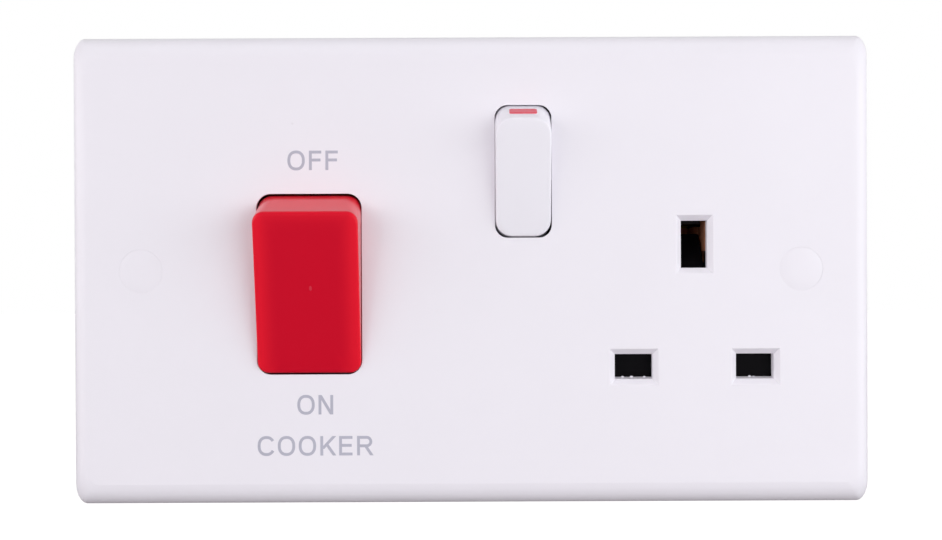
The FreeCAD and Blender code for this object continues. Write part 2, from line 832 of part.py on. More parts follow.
def socket_line_strip():
    half = link_width / 2
    limb = prism(line_strip_profile(0), "yz", socket_x - half, socket_x + half)
    tail = box(socket_x - half, line_pin_x + clip_width / 2, groove_front, groove_front + link_thickness,
               pin_z - half, pin_z + half)
    return limb.fuse([tail, contact_button(socket_x, socket_z)]).removeSplitter()


def earth_block_z():
    return earth_block_start + earth_block_length / 2


def earth_bores():
    return [earth_block_x + side * earth_bore_pitch / 2 for side in (-1, 1)]


def earth_strap():
    half = earth_strap_width / 2
    return box(earth_x - half, earth_x + half, earth_strap_y, earth_strap_y + link_thickness,
               earth_z - clip_width / 2, earth_block_start + earth_block_length)


def earth_terminal():
    half = earth_block_width / 2
    low = earth_block_start
    high = low + earth_block_length
    rear = earth_block_y + earth_block_depth
    block = prism(rect(earth_block_x - half, earth_block_x + half, earth_block_y, rear), "xy", low, high)
    cutters = []
    for x in earth_bores():
        cutters.append(rod(earth_bore, vec(x, earth_bore_y, low), vec(x, earth_bore_y, high)))
        cutters.append(stud_y(earth_clamp_radius + 0.05, x, earth_block_z(), earth_bore_y, rear))
    return block.cut(cutters)


def earth_terminal_screws():
    tip = earth_bore_y + earth_bore + fit_gap
    seat = earth_block_y + earth_block_depth + 0.6
    screw = slotted_screw(earth_clamp_radius, tip, seat, clamp_head_radius, earth_clamp_head)
    return Part.makeCompound([moved(screw, x, 0, earth_block_z()) for x in earth_bores()])


def socket_outline():
    left = socket_base_left
    right = socket_base_right
    r = -base_corner
    return [(left, socket_base_bottom, r), (right, socket_base_bottom, r), (right, socket_waist_low, r),
            (socket_waist_right, socket_waist_low, r), (socket_waist_right, socket_waist_high, r),
            (socket_shoulder_right, socket_waist_high, r), (socket_shoulder_right, socket_base_top, r),
            (left, socket_base_top, r)]


def earth_tower(gap):
    wall = earth_tower_wall + fit_gap + gap
    half = earth_block_width / 2 + wall
    high = min(earth_block_start + earth_block_length + wall, socket_base_top)
    return rect(earth_block_x - half, earth_block_x + half, earth_block_start - wall, high, -0.8)


def socket_chambers():
    # Rooms open to the front for the switch, the shutter and the three clips.
    s = socket
    room = prism(window(s.x, s.z, 2 * s.chamber_half, 2 * s.chamber_end, 0), "xz", inner_y, floor_y)
    slide = shutter_half_width + 0.25
    deep = shutter_back + 0.3
    recess = box(earth_x - slide, earth_x + slide, inner_y, deep, shutter_floor, pin_z + shutter_cover + 0.8)
    stem_half = shutter_stem_width / 2 + 0.25
    stem_room = box(earth_x - stem_half, earth_x + stem_half, inner_y, shutter_front + ramp_depth + 0.4,
                    -3.5 - shutter_travel - 1.0, ramp_start + ramp_depth + 4.0)
    low_room = box(earth_x - stem_half, earth_x + stem_half, inner_y, deep, pin_z, -3.5)
    rooms = [room, recess, stem_room, low_room]
    across = clip_room + clip_metal + clip_chamber_gap
    along = clip_width / 2 + clip_chamber_gap
    for x, floor in ((neutral_pin_x, groove_front - 1.2), (line_pin_x, groove_front)):
        rooms.append(box(x - along, x + along, inner_y, floor, pin_z - across, pin_z + across))
    tall = clip_width / 2 + earth_clip_extra + clip_chamber_gap
    rooms.append(box(earth_x - across, earth_x + across, inner_y, earth_strap_y,
                     earth_z - tall, earth_z + tall))
    rooms.append(box(earth_x - across, earth_x + across, inner_y, shutter_front + ramp_depth + 0.4,
                     earth_z, earth_room_top()))
    return rooms


def socket_channels():
    # Ways for the metal strips, and the pocket of the earth terminal, open at the top for its cables.
    half = link_width / 2 + 0.05
    limb = prism(line_strip_profile(0.05), "yz", socket_x - half, socket_x + half)
    back_groove = box(socket_x - half, line_pin_x + clip_width / 2 + 0.1, groove_front, cover_y,
                      pin_z - half, pin_z + half)
    top = socket_z + socket.chamber_end - 0.65
    limb_groove = box(socket_x - half, socket_x + half, groove_front, cover_y, pin_z - half, top)
    fulcrum_half = arm_width / 2 + 0.05
    fulcrum_way = box(socket_x - fulcrum_half, socket_x + fulcrum_half, strip_front, floor_y,
                      line_link_top - link_width / 2 - 0.05, socket_z)
    link_way = prism(line_link_corners(0.05), "xz", floor_y, floor_y + link_thickness + 0.05)
    wide = link_width / 2 + 0.2
    trench = box(socket_base_left, neutral_pin_x, inner_y, neutral_link_y + link_thickness + 0.05,
                 neutral_link_z - wide, neutral_link_z + wide)
    strap_half = earth_strap_width / 2 + 0.05
    strap_way = box(earth_x - strap_half, earth_x + strap_half, earth_strap_y, cover_y,
                    earth_z - clip_width / 2 - 0.05, earth_block_start + earth_block_length + 0.05)
    block_half = earth_block_width / 2 + fit_gap
    pocket = box(earth_block_x - block_half, earth_block_x + block_half, earth_block_y, earth_tower_rear,
                 earth_block_start - fit_gap, earth_block_start + earth_block_length + fit_gap)
    sill = earth_bore_y - earth_bore - core_room
    cable_way = box(earth_block_x - block_half, earth_block_x + block_half, sill, earth_tower_rear,
                    earth_block_z(), socket_base_top + 1)
    return [limb, back_groove, limb_groove, fulcrum_way, link_way, trench, strap_way, pocket, cable_way]


def socket_base():
    body = prism(socket_outline(), "xz", inner_y, cover_y)
    body = body.fuse(prism(earth_tower(0), "xz", cover_y - 1, earth_tower_rear))
    cutters = socket_chambers() + socket_channels() + hinge_slots(socket)
    for x, z in socket_screws:
        cutters.append(stud_y(post_radius + post_room, x, z, inner_y, -post_setback))
        cutters.append(stud_y(hole_radius, x, z, -post_setback, cover_y))
    return body.cut(cutters).removeSplitter()


def socket_rear_cover():
    # Flat cover over the strip grooves, cut round the earth terminal's tower.
    rear = cover_y + cover_thickness
    plate = prism(socket_outline(), "xz", cover_y, rear)
    cutters = [prism(earth_tower(fit_gap), "xz", cover_y, rear)]
    half = earth_block_width / 2 + earth_tower_wall
    cutters.append(box(earth_block_x - half, earth_block_x + half, cover_y, rear, earth_block_z(),
                       socket_base_top + 1))
    for x, z in socket_screws:
        cutters.append(stud_y(hole_radius, x, z, cover_y, rear))
    return plate.cut(cutters).removeSplitter()


def socket_base_screws():
    seat = cover_y + cover_thickness
    screw = slotted_screw(pilot_radius - pilot_bite, inner_y + 1.0, seat, head_radius, head_height)
    return Part.makeCompound([moved(screw, x, 0, z) for x, z in socket_screws])


def build_all():
    half_pitch = pole_spacing / 2
    parts = {"front_plate": front_plate(), "screw_caps": screw_caps(),
             "cooker_rocker": rocker(cooker, [-half_pitch, half_pitch]), "socket_rocker": socket_rocker(),
             "rocker_flash": in_place(flash_block(socket, 0), socket)}
    for pole, side in (("line", 1), ("neutral", -1)):
        x = cooker_x + side * half_pitch
        parts["cooker_plunger_" + pole] = plunger(cooker, side * half_pitch)
        parts["cooker_spring_" + pole] = plunger_spring(cooker, side * half_pitch)
        parts["cooker_contact_arm_" + pole] = contact_arm(x, cooker_z)
        parts["cooker_fulcrum_" + pole] = fulcrum(x, cooker_z, strip_length + 3)
        parts["cooker_fixed_contact_" + pole] = fixed_contact(x, cooker_z)
    for name, x, end in terminal_places():
        parts[name] = terminal(x, end)
    parts["terminal_screws"] = terminal_screws()
    parts["switch_base"] = switch_base()
    parts["switch_base_screws"] = switch_base_screws()
    parts["socket_plunger"] = plunger(socket, 0)
    parts["socket_spring"] = plunger_spring(socket, 0)
    parts["socket_contact_arm"] = contact_arm(socket_x, socket_z)
    parts["socket_fulcrum"] = fulcrum(socket_x, socket_z, socket_z - line_link_top + link_width / 2)
    parts["socket_line_strip"] = socket_line_strip()
    parts["line_contact_clip"] = flat_pin_clip(line_pin_x, groove_front - clip_metal)
    parts["neutral_contact_clip"] = flat_pin_clip(neutral_pin_x, groove_front - 1.2 - clip_metal)
    parts["earth_contact_clip"] = earth_contact_clip()
    parts["shutter"] = shutter()
    parts["shutter_spring"] = shutter_spring()
    parts["socket_base"] = socket_base()
    parts["socket_rear_cover"] = socket_rear_cover()
    parts["socket_base_screws"] = socket_base_screws()
    parts["line_link"] = line_link()
    parts["neutral_link"] = neutral_link()
    parts["earth_strap"] = earth_strap()
    parts["earth_terminal"] = earth_terminal()
    parts["earth_terminal_screws"] = earth_terminal_screws()
    return parts


os.makedirs("parts", exist_ok=True)
for node, shape in build_all().items():
    shape.exportStep("parts/" + node + ".step")
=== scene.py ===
import json
import math
import bmesh
import bpy
import numpy as np
from mathutils import Matrix, Vector

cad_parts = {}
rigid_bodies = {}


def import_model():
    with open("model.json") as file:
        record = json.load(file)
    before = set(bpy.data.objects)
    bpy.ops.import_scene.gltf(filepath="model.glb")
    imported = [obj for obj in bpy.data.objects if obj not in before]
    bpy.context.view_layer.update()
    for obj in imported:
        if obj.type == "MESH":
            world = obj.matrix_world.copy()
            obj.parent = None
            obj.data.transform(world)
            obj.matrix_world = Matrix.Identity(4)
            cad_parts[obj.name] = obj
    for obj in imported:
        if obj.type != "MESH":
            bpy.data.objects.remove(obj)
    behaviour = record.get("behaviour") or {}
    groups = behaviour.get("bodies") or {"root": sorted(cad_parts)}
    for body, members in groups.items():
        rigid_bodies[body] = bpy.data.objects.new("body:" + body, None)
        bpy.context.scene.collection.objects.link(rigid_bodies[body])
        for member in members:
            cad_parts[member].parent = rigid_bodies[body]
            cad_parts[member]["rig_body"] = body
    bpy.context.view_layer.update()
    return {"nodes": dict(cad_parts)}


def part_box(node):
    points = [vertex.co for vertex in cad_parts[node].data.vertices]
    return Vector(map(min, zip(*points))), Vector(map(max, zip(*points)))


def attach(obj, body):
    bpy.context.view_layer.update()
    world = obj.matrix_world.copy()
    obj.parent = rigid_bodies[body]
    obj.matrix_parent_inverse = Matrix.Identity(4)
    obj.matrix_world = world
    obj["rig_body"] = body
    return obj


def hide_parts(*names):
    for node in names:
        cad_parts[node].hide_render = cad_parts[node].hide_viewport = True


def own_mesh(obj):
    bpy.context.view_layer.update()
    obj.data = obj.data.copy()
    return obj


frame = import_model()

# Cooker control unit in metres: x right, y into the wall, z up, origin at the plate centre on the wall plane.
MM = 0.001

# Sizes of the part in millimetres, as in its source
FRONT_Y = -9.0
FIXING_X = 60.3
EARTH_X = 40.85
SWITCH_Z = -2.47

# Pin slots of the plate: middle in x and z, half the width, half the height
EARTH_SLOT = (EARTH_X, 4.55, 2.375, 4.325)
NEUTRAL_SLOT = (29.735, -17.68, 3.45, 2.15)
LINE_SLOT = (51.965, -17.68, 3.45, 2.15)
SLOT_SPLAY, SLOT_NECK_Y, SLOT_BACK_Y = 1.0, -7.9, -6.4

# Rockers: opening, hinge depth behind the plate face and tilt at ON, then corners, gaps, edge, hinge pin and poles
POLE_X = 4.6
COOKER = dict(x=-29.53, z=-2.54, width=19.2, height=33.0, depth=3.2, tilt=13.3, face_corner=2.1,
              shoulder_corner=3.2, skirt_corner=2.75, side_gap=0.06, end_gap=0.45, press_gap=0.2, edge=0.75,
              pin=1.6, poles=(-POLE_X, POLE_X))
SOCKET = dict(x=9.56, z=17.97, width=10.35, height=24.2, depth=3.7, tilt=12.0, face_corner=3.0,
              shoulder_corner=2.8, skirt_corner=2.5, side_gap=0.075, end_gap=0.3, press_gap=0.12, edge=0.5,
              pin=1.4, poles=(0.0,))
FLUSH_PROUD, SIDE_EDGE, SIDE_TAPER, FACE_CROWN = 0.25, 0.3, 0.08, 0.1
FACE_WALL, SIDE_WALL, END_WALL, HOLLOW_CORNER, SKIRT_END = 2.0, 1.9, 1.7, 0.6, 3.0
PIN_ROOT, PIN_REACH, PIN_CHAMFER = 1.2, 2.1, 0.2
BARREL_RADIUS, BARREL_BORE, BARREL_END, BARREL_ROOT = 2.65, 1.75, 5.4, 0.3
FLASH_WIDTH, FLASH_HEIGHT, FLASH_SETBACK, FLASH_CORNER = 5.0, 2.2, 1.95, 0.45
CAP_HOLE, CAP_SLACK, CAP_WALL, CAP_TOP, CAP_DEPTH = 3.95, 0.012, 0.9, 1.2, 3.4

# Switch mechanism: each plunger with its spring as rocker, pole, rocker sizes and x, then the shared sizes
POLES = (("cooker", "_line", COOKER, POLE_X), ("cooker", "_neutral", COOKER, -POLE_X), ("socket", "", SOCKET, 0.0))
PLUNGER_RADIUS, PLUNGER_BACK, PLUNGER_NOSE, STUD_RADIUS, STUD_END = 1.7, 0.8, 1.4, 0.6, -0.4
STRIP_FRONT, BUTTON_HEIGHT, CONTACT_GAP, TIP_GAP = 10.2, 0.8, 0.05, 0.2
ARM_THICKNESS, ARM_RISE, ARM_BEND = 1.2, 1.4, 8
ARM_PIVOT_Y = (STRIP_FRONT - 2 * BUTTON_HEIGHT - CONTACT_GAP - ARM_THICKNESS
               + ARM_RISE * math.cos(math.radians(ARM_BEND)))
COIL_RADIUS, COIL_WIRE, COIL_TURNS, CLOSED_END, CLOSED_RISE = 1.25, 0.2, 5.5, 0.1, 0.06
SHUTTER_COIL_RADIUS, SHUTTER_COIL_WIRE, SHUTTER_COIL_TURNS, SHUTTER_COIL_Y = 0.62, 0.14, 14, -5.3
THREAD_PITCH, THREAD_DEPTH, DRIVER_SLOT, DRIVER_DEPTH = 0.7, 0.3, 0.9, 0.9

# Fine detail that only the scene has, in millimetres
CAP_SHIFT = 0.008
FOOT_DRAFT, SPLAY_DRAFT, SIDE_DRAFT = 0.28, 0.36, 0.12
GATE_PLACE, GATE_STRETCH = (0.68, 0.0, 1.07), (0.85, 1.0, 1.5)
BURR_DEPTH, BURR_SETBACK = 0.18, 0.2
# Burrs of a slot: place across its foot, reach and rise
SLOT_BURRS = ((NEUTRAL_SLOT, ((-1.91, 0.3, 0.18), (-0.25, 0.34, 0.2), (2.12, 0.26, 0.15))),
              (LINE_SLOT, ((-0.72, 0.26, 0.21), (0.05, 0.2, 0.1))))

# Lettering in millimetres; each word has its middle in x and z and the gaps between its letters
STROKE, CAPITAL, OVERSHOOT, BOWL_POWER = 0.52, 3.55, 0.04, 2.3
INK_LIFT, INK_STEP, INK_ROOT = 0.012, 0.002, 0.02
LETTER_WIDTHS = {"O": 3.17, "C": 3.0, "F": 2.26, "E": 2.44, "N": 2.68, "K": 2.9, "R": 2.97}
OPEN_BOWL_WIDTH, OPEN_BOWL_ANGLES = 3.2, (32, 330)
LEGENDS = (("OFF", -28.81, 20.11, (0.76, 0.75)),
           ("ON", -28.545, -24.495, (0.7,)),
           ("COOKER", -28.535, -32.0, (0.68, 0.65, 0.78, 0.53, 0.84)))

# Edges: tolerances in millimetres, turns in degrees, and the bevel's share on the plate away from its pin slots
NEAR, CAP_MARGIN, MOUTH_MARGIN, MERGE_DISTANCE = 0.05, 0.2, 0.4, 0.001
FLAT_TURN, SHARP_TURN, PLATE_EDGE_SHARE = 0.6, 35, 0.28

# Stage, lamps and camera in metres and degrees; a lamp has place, size, power, colour and whether gloss shows it
PURE_WHITE = (1.0, 1.0, 1.0, 1.0)
FLOOR_HALF, FLOOR_LEVEL, FLOOR_COLOUR = 4.0, -0.16, (0.37, 0.345, 0.355, 1.0)
FLOOR_GLOW, FLOOR_MIRROR_SHARE = 0.91, 0.112
LAMPS = (("right_lamp", (0.75, -0.54, 0.08), (1.4, 0.5), 7.2, (0.97, 0.995, 1.0), True),
         ("left_lamp", (-1.38, -0.66, 0.14), (2.2, 0.8), 15.9, (1.0, 0.985, 0.99), True),
         ("front_lamp", (-0.22, -1.0, 0.1), (1.0, 0.5), 1.65, (1.0, 1.0, 1.0), False),
         ("top_lamp", (0.12, -0.32, 1.0), (1.2, 0.4), 1.1, (0.99, 1.0, 1.0), True))
SENSOR_WIDTH, LENS, CAMERA_DISTANCE, CAMERA_PITCH, CAMERA_ROLL = 36.0, 52.35, 0.25, 90 - 0.4, -0.24


# Colour and node helpers

def srgb(red, green, blue):
    """Linear colour with alpha from 0 to 255 screen values."""
    values = np.array([red, green, blue]) / 255.0
    linear = np.where(values <= 0.04045, values / 12.92, ((values + 0.055) / 1.055) ** 2.4)
    return (*[float(v) for v in linear], 1.0)


def feed(tree, made, inputs):
    """Feeds a node's inputs, given by name or number: a socket is linked, a plain value is set."""
    for key, value in inputs.items():
        if isinstance(value, bpy.types.NodeSocket):
            tree.links.new(value, made.inputs[key])
        else:
            made.inputs[key].default_value = value
    return made


def node(tree, kind, x, y, inputs=None, **settings):
    """New node at a place in the node editor, with its settings and what feeds its inputs."""
    made = tree.nodes.new(kind)
    made.location = (x, y)
    for key, value in settings.items():
        setattr(made, key, value)
    return feed(tree, made, inputs or {})


def grain_group(name, inputs):
    """New node group with its input and output nodes: the given inputs, and Colour, Roughness and Height out."""
    tree = bpy.data.node_groups.new(name, "ShaderNodeTree")
    for key, value in inputs.items():
        kind = "NodeSocketColor" if isinstance(value, tuple) else "NodeSocketFloat"
        tree.interface.new_socket(name=key, in_out="INPUT", socket_type=kind).default_value = value
    for key, kind in (("Colour", "NodeSocketColor"), ("Roughness", "NodeSocketFloat"), ("Height", "NodeSocketFloat")):
        tree.interface.new_socket(name=key, in_out="OUTPUT", socket_type=kind)
    return tree, node(tree, "NodeGroupInput", -900, 0), node(tree, "NodeGroupOutput", 700, 0)


def uneven_roughness(tree, given, pattern):
    """Roughness of a group: its own level, raised by its spread where the pattern is strong."""
    uneven = node(tree, "ShaderNodeMath", 0, -400,
                  {0: pattern, 1: given.outputs["Rough Spread"], 2: given.outputs["Rough"]}, operation="MULTIPLY_ADD")
    return uneven.outputs["Value"]


def moulding_grain():
    """Group for moulded plastic: soft cloudy shade, rare fine flecks, uneven gloss and a faint orange-peel height."""
    tree, given, result = grain_group("moulding_grain", {"Colour": (0.8, 0.8, 0.8, 1.0), "Cloud": 0.03, "Fleck": 0.1,
                                                         "Rough": 0.35, "Rough Spread": 0.08})
    place = node(tree, "ShaderNodeTexCoord", -1100, -300).outputs["Object"]
    cloud = node(tree, "ShaderNodeTexNoise", -700, 200, {"Vector": place, "Scale": 45.0, "Detail": 4.0})
    fleck = node(tree, "ShaderNodeTexVoronoi", -700, -100, {"Vector": place, "Scale": 90.0})
    peel = node(tree, "ShaderNodeTexNoise", -700, -400, {"Vector": place, "Scale": 900.0, "Detail": 3.0})
    shade = node(tree, "ShaderNodeMapRange", -450, 200,
                 {"Value": cloud.outputs["Fac"], "From Min": 0.3, "From Max": 0.7})
    amount = node(tree, "ShaderNodeMath", -250, 200, {0: shade.outputs["Result"], 1: given.outputs["Cloud"]},
                  operation="MULTIPLY")
    darker = node(tree, "ShaderNodeMix", 0, 150, data_type="RGBA", blend_type="MULTIPLY")
    feed(tree, darker, {"Factor": amount.outputs["Value"], "A": given.outputs["Colour"], "B": (0.55, 0.54, 0.52, 1.0)})
    dot = node(tree, "ShaderNodeMapRange", -450, -100,
               {"Value": fleck.outputs["Distance"], "From Max": 0.035, "To Min": 1.0, "To Max": 0.0})
    pick = node(tree, "ShaderNodeSeparateColor", -450, -260, {"Color": fleck.outputs["Color"]})
    rare = node(tree, "ShaderNodeMath", -270, -260, {0: pick.outputs["Red"], 1: 0.08}, operation="LESS_THAN")
    seen = node(tree, "ShaderNodeMath", -100, -180, {0: dot.outputs["Result"], 1: rare.outputs["Value"]},
                operation="MULTIPLY")
    strength = node(tree, "ShaderNodeMath", 60, -180, {0: seen.outputs["Value"], 1: given.outputs["Fleck"]},
                    operation="MULTIPLY")
    flecked = node(tree, "ShaderNodeMix", 250, 100, data_type="RGBA", blend_type="MIX")
    feed(tree, flecked, {"Factor": strength.outputs["Value"], "A": darker.outputs["Result"],
                         "B": (0.12, 0.10, 0.08, 1.0)})
    feed(tree, result, {"Colour": flecked.outputs["Result"], "Height": peel.outputs["Fac"],
                        "Roughness": uneven_roughness(tree, given, shade.outputs["Result"])})
    return tree


def metal_grain():
    """Group for sheet and bar metal: drawn streaks, tarnish clouds and a fine streak height."""
    tree, given, result = grain_group("metal_grain", {"Colour": (0.8, 0.6, 0.3, 1.0), "Tarnish": (0.3, 0.2, 0.1, 1.0),
                                                      "Amount": 0.35, "Rough": 0.3, "Rough Spread": 0.2})
    place = node(tree, "ShaderNodeTexCoord", -1300, -300).outputs["Object"]
    stretch = node(tree, "ShaderNodeMapping", -1100, -300, {"Vector": place, "Scale": (2600.0, 2600.0, 90.0)})
    cloud = node(tree, "ShaderNodeTexNoise", -700, 200, {"Vector": place, "Scale": 260.0, "Detail": 5.0})
    streak = node(tree, "ShaderNodeTexNoise", -700, -300,
                  {"Vector": stretch.outputs["Vector"], "Scale": 1.0, "Detail": 2.0})
    patchy = node(tree, "ShaderNodeMapRange", -450, 200,
                  {"Value": cloud.outputs["Fac"], "From Min": 0.42, "From Max": 0.75})
    amount = node(tree, "ShaderNodeMath", -250, 200, {0: patchy.outputs["Result"], 1: given.outputs["Amount"]},
                  operation="MULTIPLY")
    tint = node(tree, "ShaderNodeMix", 0, 150, data_type="RGBA", blend_type="MIX")
    feed(tree, tint, {"Factor": amount.outputs["Value"], "A": given.outputs["Colour"], "B": given.outputs["Tarnish"]})
    feed(tree, result, {"Colour": tint.outputs["Result"], "Height": streak.outputs["Fac"],
                        "Roughness": uneven_roughness(tree, given, streak.outputs["Fac"])})
    return tree


MOULDING_GRAIN = moulding_grain()
METAL_GRAIN = metal_grain()


def finish_material(name, group, values, height, metallic=0.0, polish=0.0, specular=0.5, rim=None):
    """Principled material whose colour, roughness and bump come from one of the shared groups.

    A rim colour, where given, is mixed in by the piece's own rim attribute. It is painted light: a lighter colour that
    stands in for light falling on the sides and raised end and glowing through the thin walls there. A polish is the
    coat weight where the piece's own polish attribute is 1.
    """
    material = bpy.data.materials.new(name)
    material.use_nodes = True
    tree = material.node_tree
    grain = node(tree, "ShaderNodeGroup", -500, 100, node_tree=group)
    feed(tree, grain, values)
    bump = node(tree, "ShaderNodeBump", -250, -250,
                {"Strength": height, "Distance": 0.0001, "Height": grain.outputs["Height"]})
    shader = feed(tree, tree.nodes["Principled BSDF"],
                  {"Metallic": metallic, "Coat Roughness": 0.28, "Specular IOR Level": specular,
                   "Base Color": grain.outputs["Colour"], "Roughness": grain.outputs["Roughness"],
                   "Normal": bump.outputs["Normal"]})
    # Painted light: the rim colour lightens the base colour where the rim attribute rises, for side light and glow
    if rim:
        mask = node(tree, "ShaderNodeAttribute", -950, 200, attribute_name="rim")
        mixed = node(tree, "ShaderNodeMix", -720, 200, data_type="RGBA")
        feed(tree, mixed, {"Factor": mask.outputs["Fac"], "A": values["Colour"], "B": rim})
        feed(tree, grain, {"Colour": mixed.outputs["Result"]})
    if polish:
        mask = node(tree, "ShaderNodeAttribute", -500, -500, attribute_name="polish")
        weight = node(tree, "ShaderNodeMath", -250, -500, {0: mask.outputs["Fac"], 1: polish}, operation="MULTIPLY")
        feed(tree, shader, {"Coat Weight": weight.outputs["Value"]})
    return material


def moulding(name, colour, cloud, fleck, rough, spread, height, **more):
    values = {"Colour": colour, "Cloud": cloud, "Fleck": fleck, "Rough": rough, "Rough Spread": spread}
    return finish_material(name, MOULDING_GRAIN, values, height, **more)


def metal(name, colour, tarnish, amount, rough, spread, height, metallic=1.0):
    values = {"Colour": colour, "Tarnish": tarnish, "Amount": amount, "Rough": rough, "Rough Spread": spread}
    return finish_material(name, METAL_GRAIN, values, height, metallic=metallic)


WHITE = moulding("white_plate_moulding", srgb(239, 235, 243), 0.03, 0.25, 0.34, 0.06, 0.03, specular=0.4)
ROCKER_WHITE = moulding("white_rocker_moulding", srgb(240, 237, 245), 0.03, 0.1, 0.3, 0.05, 0.03, specular=0.4,
                        polish=0.5)
# The rim colour is painted light: a lighter red on the sides and raised end, standing in for side light and glow
RED = moulding("red_rocker_moulding", srgb(204, 8, 39), 0.04, 0.0, 0.28, 0.06, 0.03, specular=0.14, polish=0.78,
               rim=srgb(232, 24, 46))
SCUFF = moulding("scuffed_red_gate", srgb(207, 42, 62), 0.3, 0.0, 0.5, 0.1, 0.2, specular=0.3)
FLASH = moulding("red_flash_insert", srgb(222, 82, 98), 0.05, 0.0, 0.3, 0.05, 0.03)
BLACK = moulding("black_shutter_moulding", srgb(11, 10, 13), 0.2, 0.0, 0.5, 0.1, 0.08, specular=0.05)
BASE = moulding("charcoal_base_moulding", srgb(46, 46, 48), 0.12, 0.05, 0.46, 0.1, 0.12, specular=0.4)
NYLON = moulding("nylon_plunger", srgb(232, 226, 208), 0.08, 0.0, 0.4, 0.08, 0.05)
INK = moulding("legend_ink", srgb(184, 182, 198), 0.12, 0.0, 0.5, 0.1, 0.06, specular=0.3)
BRASS = metal("brass_strip", srgb(214, 176, 98), srgb(120, 84, 40), 0.5, 0.24, 0.2, 0.08)
BRONZE = metal("oxidised_bronze_clip", srgb(222, 148, 112), srgb(140, 86, 62), 0.4, 0.5, 0.15, 0.08, metallic=0.4)
COPPER = metal("copper_strip", srgb(208, 130, 92), srgb(110, 62, 44), 0.45, 0.28, 0.2, 0.08)
SPRING = metal("spring_wire", srgb(176, 176, 178), srgb(96, 92, 88), 0.3, 0.26, 0.15, 0.05)
PLATED = metal("plated_screw", srgb(206, 204, 196), srgb(150, 138, 104), 0.4, 0.26, 0.18, 0.06)


# Mesh helpers

def sheet_mesh(name, rings, hoop=False):
    """Closed surface through a (rows, points, 3) array in millimetres.

    Each row closes round on itself. The first and last rows are capped, or joined to each other in a hoop.
    """
    rings = np.asarray(rings, float)
    rows, count = rings.shape[:2]
    index = np.arange(rows * count).reshape(rows, count)
    across = np.roll(index, -1, axis=1)
    last = rows if hoop else rows - 1
    below, below_across = np.roll(index, -1, axis=0), np.roll(across, -1, axis=0)
    quads = np.stack([index[:last], across[:last], below_across[:last], below[:last]], axis=-1)
    faces = quads.reshape(-1, 4).tolist()
    if not hoop:
        faces += [index[0][::-1].tolist(), index[-1].tolist()]
    mesh = bpy.data.meshes.new(name)
    mesh.from_pydata((rings.reshape(-1, 3) * MM).tolist(), [], faces)
    return mesh


def join_meshes(name, meshes):
    """One mesh from several closed shells, with every shell's faces turned outwards."""
    whole = bmesh.new()
    for mesh in meshes:
        part = bmesh.new()
        part.from_mesh(mesh)
        bmesh.ops.recalc_face_normals(part, faces=part.faces)
        part.to_mesh(mesh)
        part.free()
        whole.from_mesh(mesh)
        bpy.data.meshes.remove(mesh)
    result = bpy.data.meshes.new(name)
    whole.to_mesh(result)
    whole.free()
    return result


def smooth(mesh, degrees=38.0):
    """Smooth shading, broken at edges that turn by more than the given angle."""
    mesh.polygons.foreach_set("use_smooth", np.ones(len(mesh.polygons), bool))
    mesh.set_sharp_from_angle(angle=math.radians(degrees))
    mesh.update()
    return mesh


def piece(name, mesh, material, body, replaced=()):
    """Visible piece of one material that rides on a body, in place of the solids it replaces."""
    made = bpy.data.objects.new(name, mesh)
    bpy.context.scene.collection.objects.link(made)
    mesh.materials.clear()
    mesh.materials.append(material)
    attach(made, body)
    if replaced:
        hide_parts(*replaced)
    return made


def rounded_loop(half_x, half_z, radius, steps=8, between=0):
    """Rounded rectangle as (points, 2): four quarter arcs of one radius, with points between them on each side."""
    turn = np.linspace(0.0, math.pi / 2, steps)
    quarter = np.arange(4)[:, None] * math.pi / 2 + turn[None, :]
    centre_x = np.array([1, -1, -1, 1])[:, None] * (half_x - radius)
    centre_z = np.array([1, 1, -1, -1])[:, None] * (half_z - radius)
    arcs = np.stack([centre_x + radius * np.cos(quarter), centre_z + radius * np.sin(quarter)], -1)
    share = np.linspace(0.0, 1.0, between + 2)[1:-1, None]
    sides = arcs[:, -1:] * (1 - share) + np.roll(arcs[:, :1], -1, axis=0) * share
    return np.concatenate([arcs, sides], axis=1).reshape(-1, 2)


def lathe(profile, centre, axis, sides=40):
    """Profile of (radius, distance) turned about an axis through a centre, as (rows, sides, 3)."""
    profile = np.asarray(profile, float)
    along = np.asarray(axis, float) / np.linalg.norm(axis)
    helper = np.array([0.0, 0.0, 1.0]) if abs(along[2]) < 0.9 else np.array([1.0, 0.0, 0.0])
    u = np.cross(along, helper)
    u /= np.linalg.norm(u)
    v = np.cross(along, u)
    turn = np.linspace(0.0, 2 * math.pi, sides, endpoint=False)
    ring = np.cos(turn)[:, None] * u + np.sin(turn)[:, None] * v
    return np.asarray(centre) + profile[:, :1, None] * ring[None] + profile[:, 1:, None] * along


def tube(path, radius, sides=10):
    """Round wire along a (points, 3) path: a circle carried on the path's tangent and a steady side direction."""
    path = np.asarray(path, float)
    tangent = np.gradient(path, axis=0)
    tangent /= np.linalg.norm(tangent, axis=1, keepdims=True)
    side = np.cross(tangent, np.array([0.13, 0.22, 0.97]))
    side /= np.linalg.norm(side, axis=1, keepdims=True)
    other = np.cross(tangent, side)
    turn = np.linspace(0.0, 2 * math.pi, sides, endpoint=False)
    return (path[:, None] + radius * (np.cos(turn)[None, :, None] * side[:, None]
                                      + np.sin(turn)[None, :, None] * other[:, None]))


def in_plate(points, spec):
    """Rocker coordinates about the hinge line, turned to the ON position and moved to the hinge."""
    turn = math.radians(spec["tilt"])
    x, y, z = np.moveaxis(np.asarray(points, float), -1, 0)
    return np.stack([x + spec["x"], y * math.cos(turn) - z * math.sin(turn) + FRONT_Y + spec["depth"],
                     y * math.sin(turn) + z * math.cos(turn) + spec["z"]], -1)


# Rockers

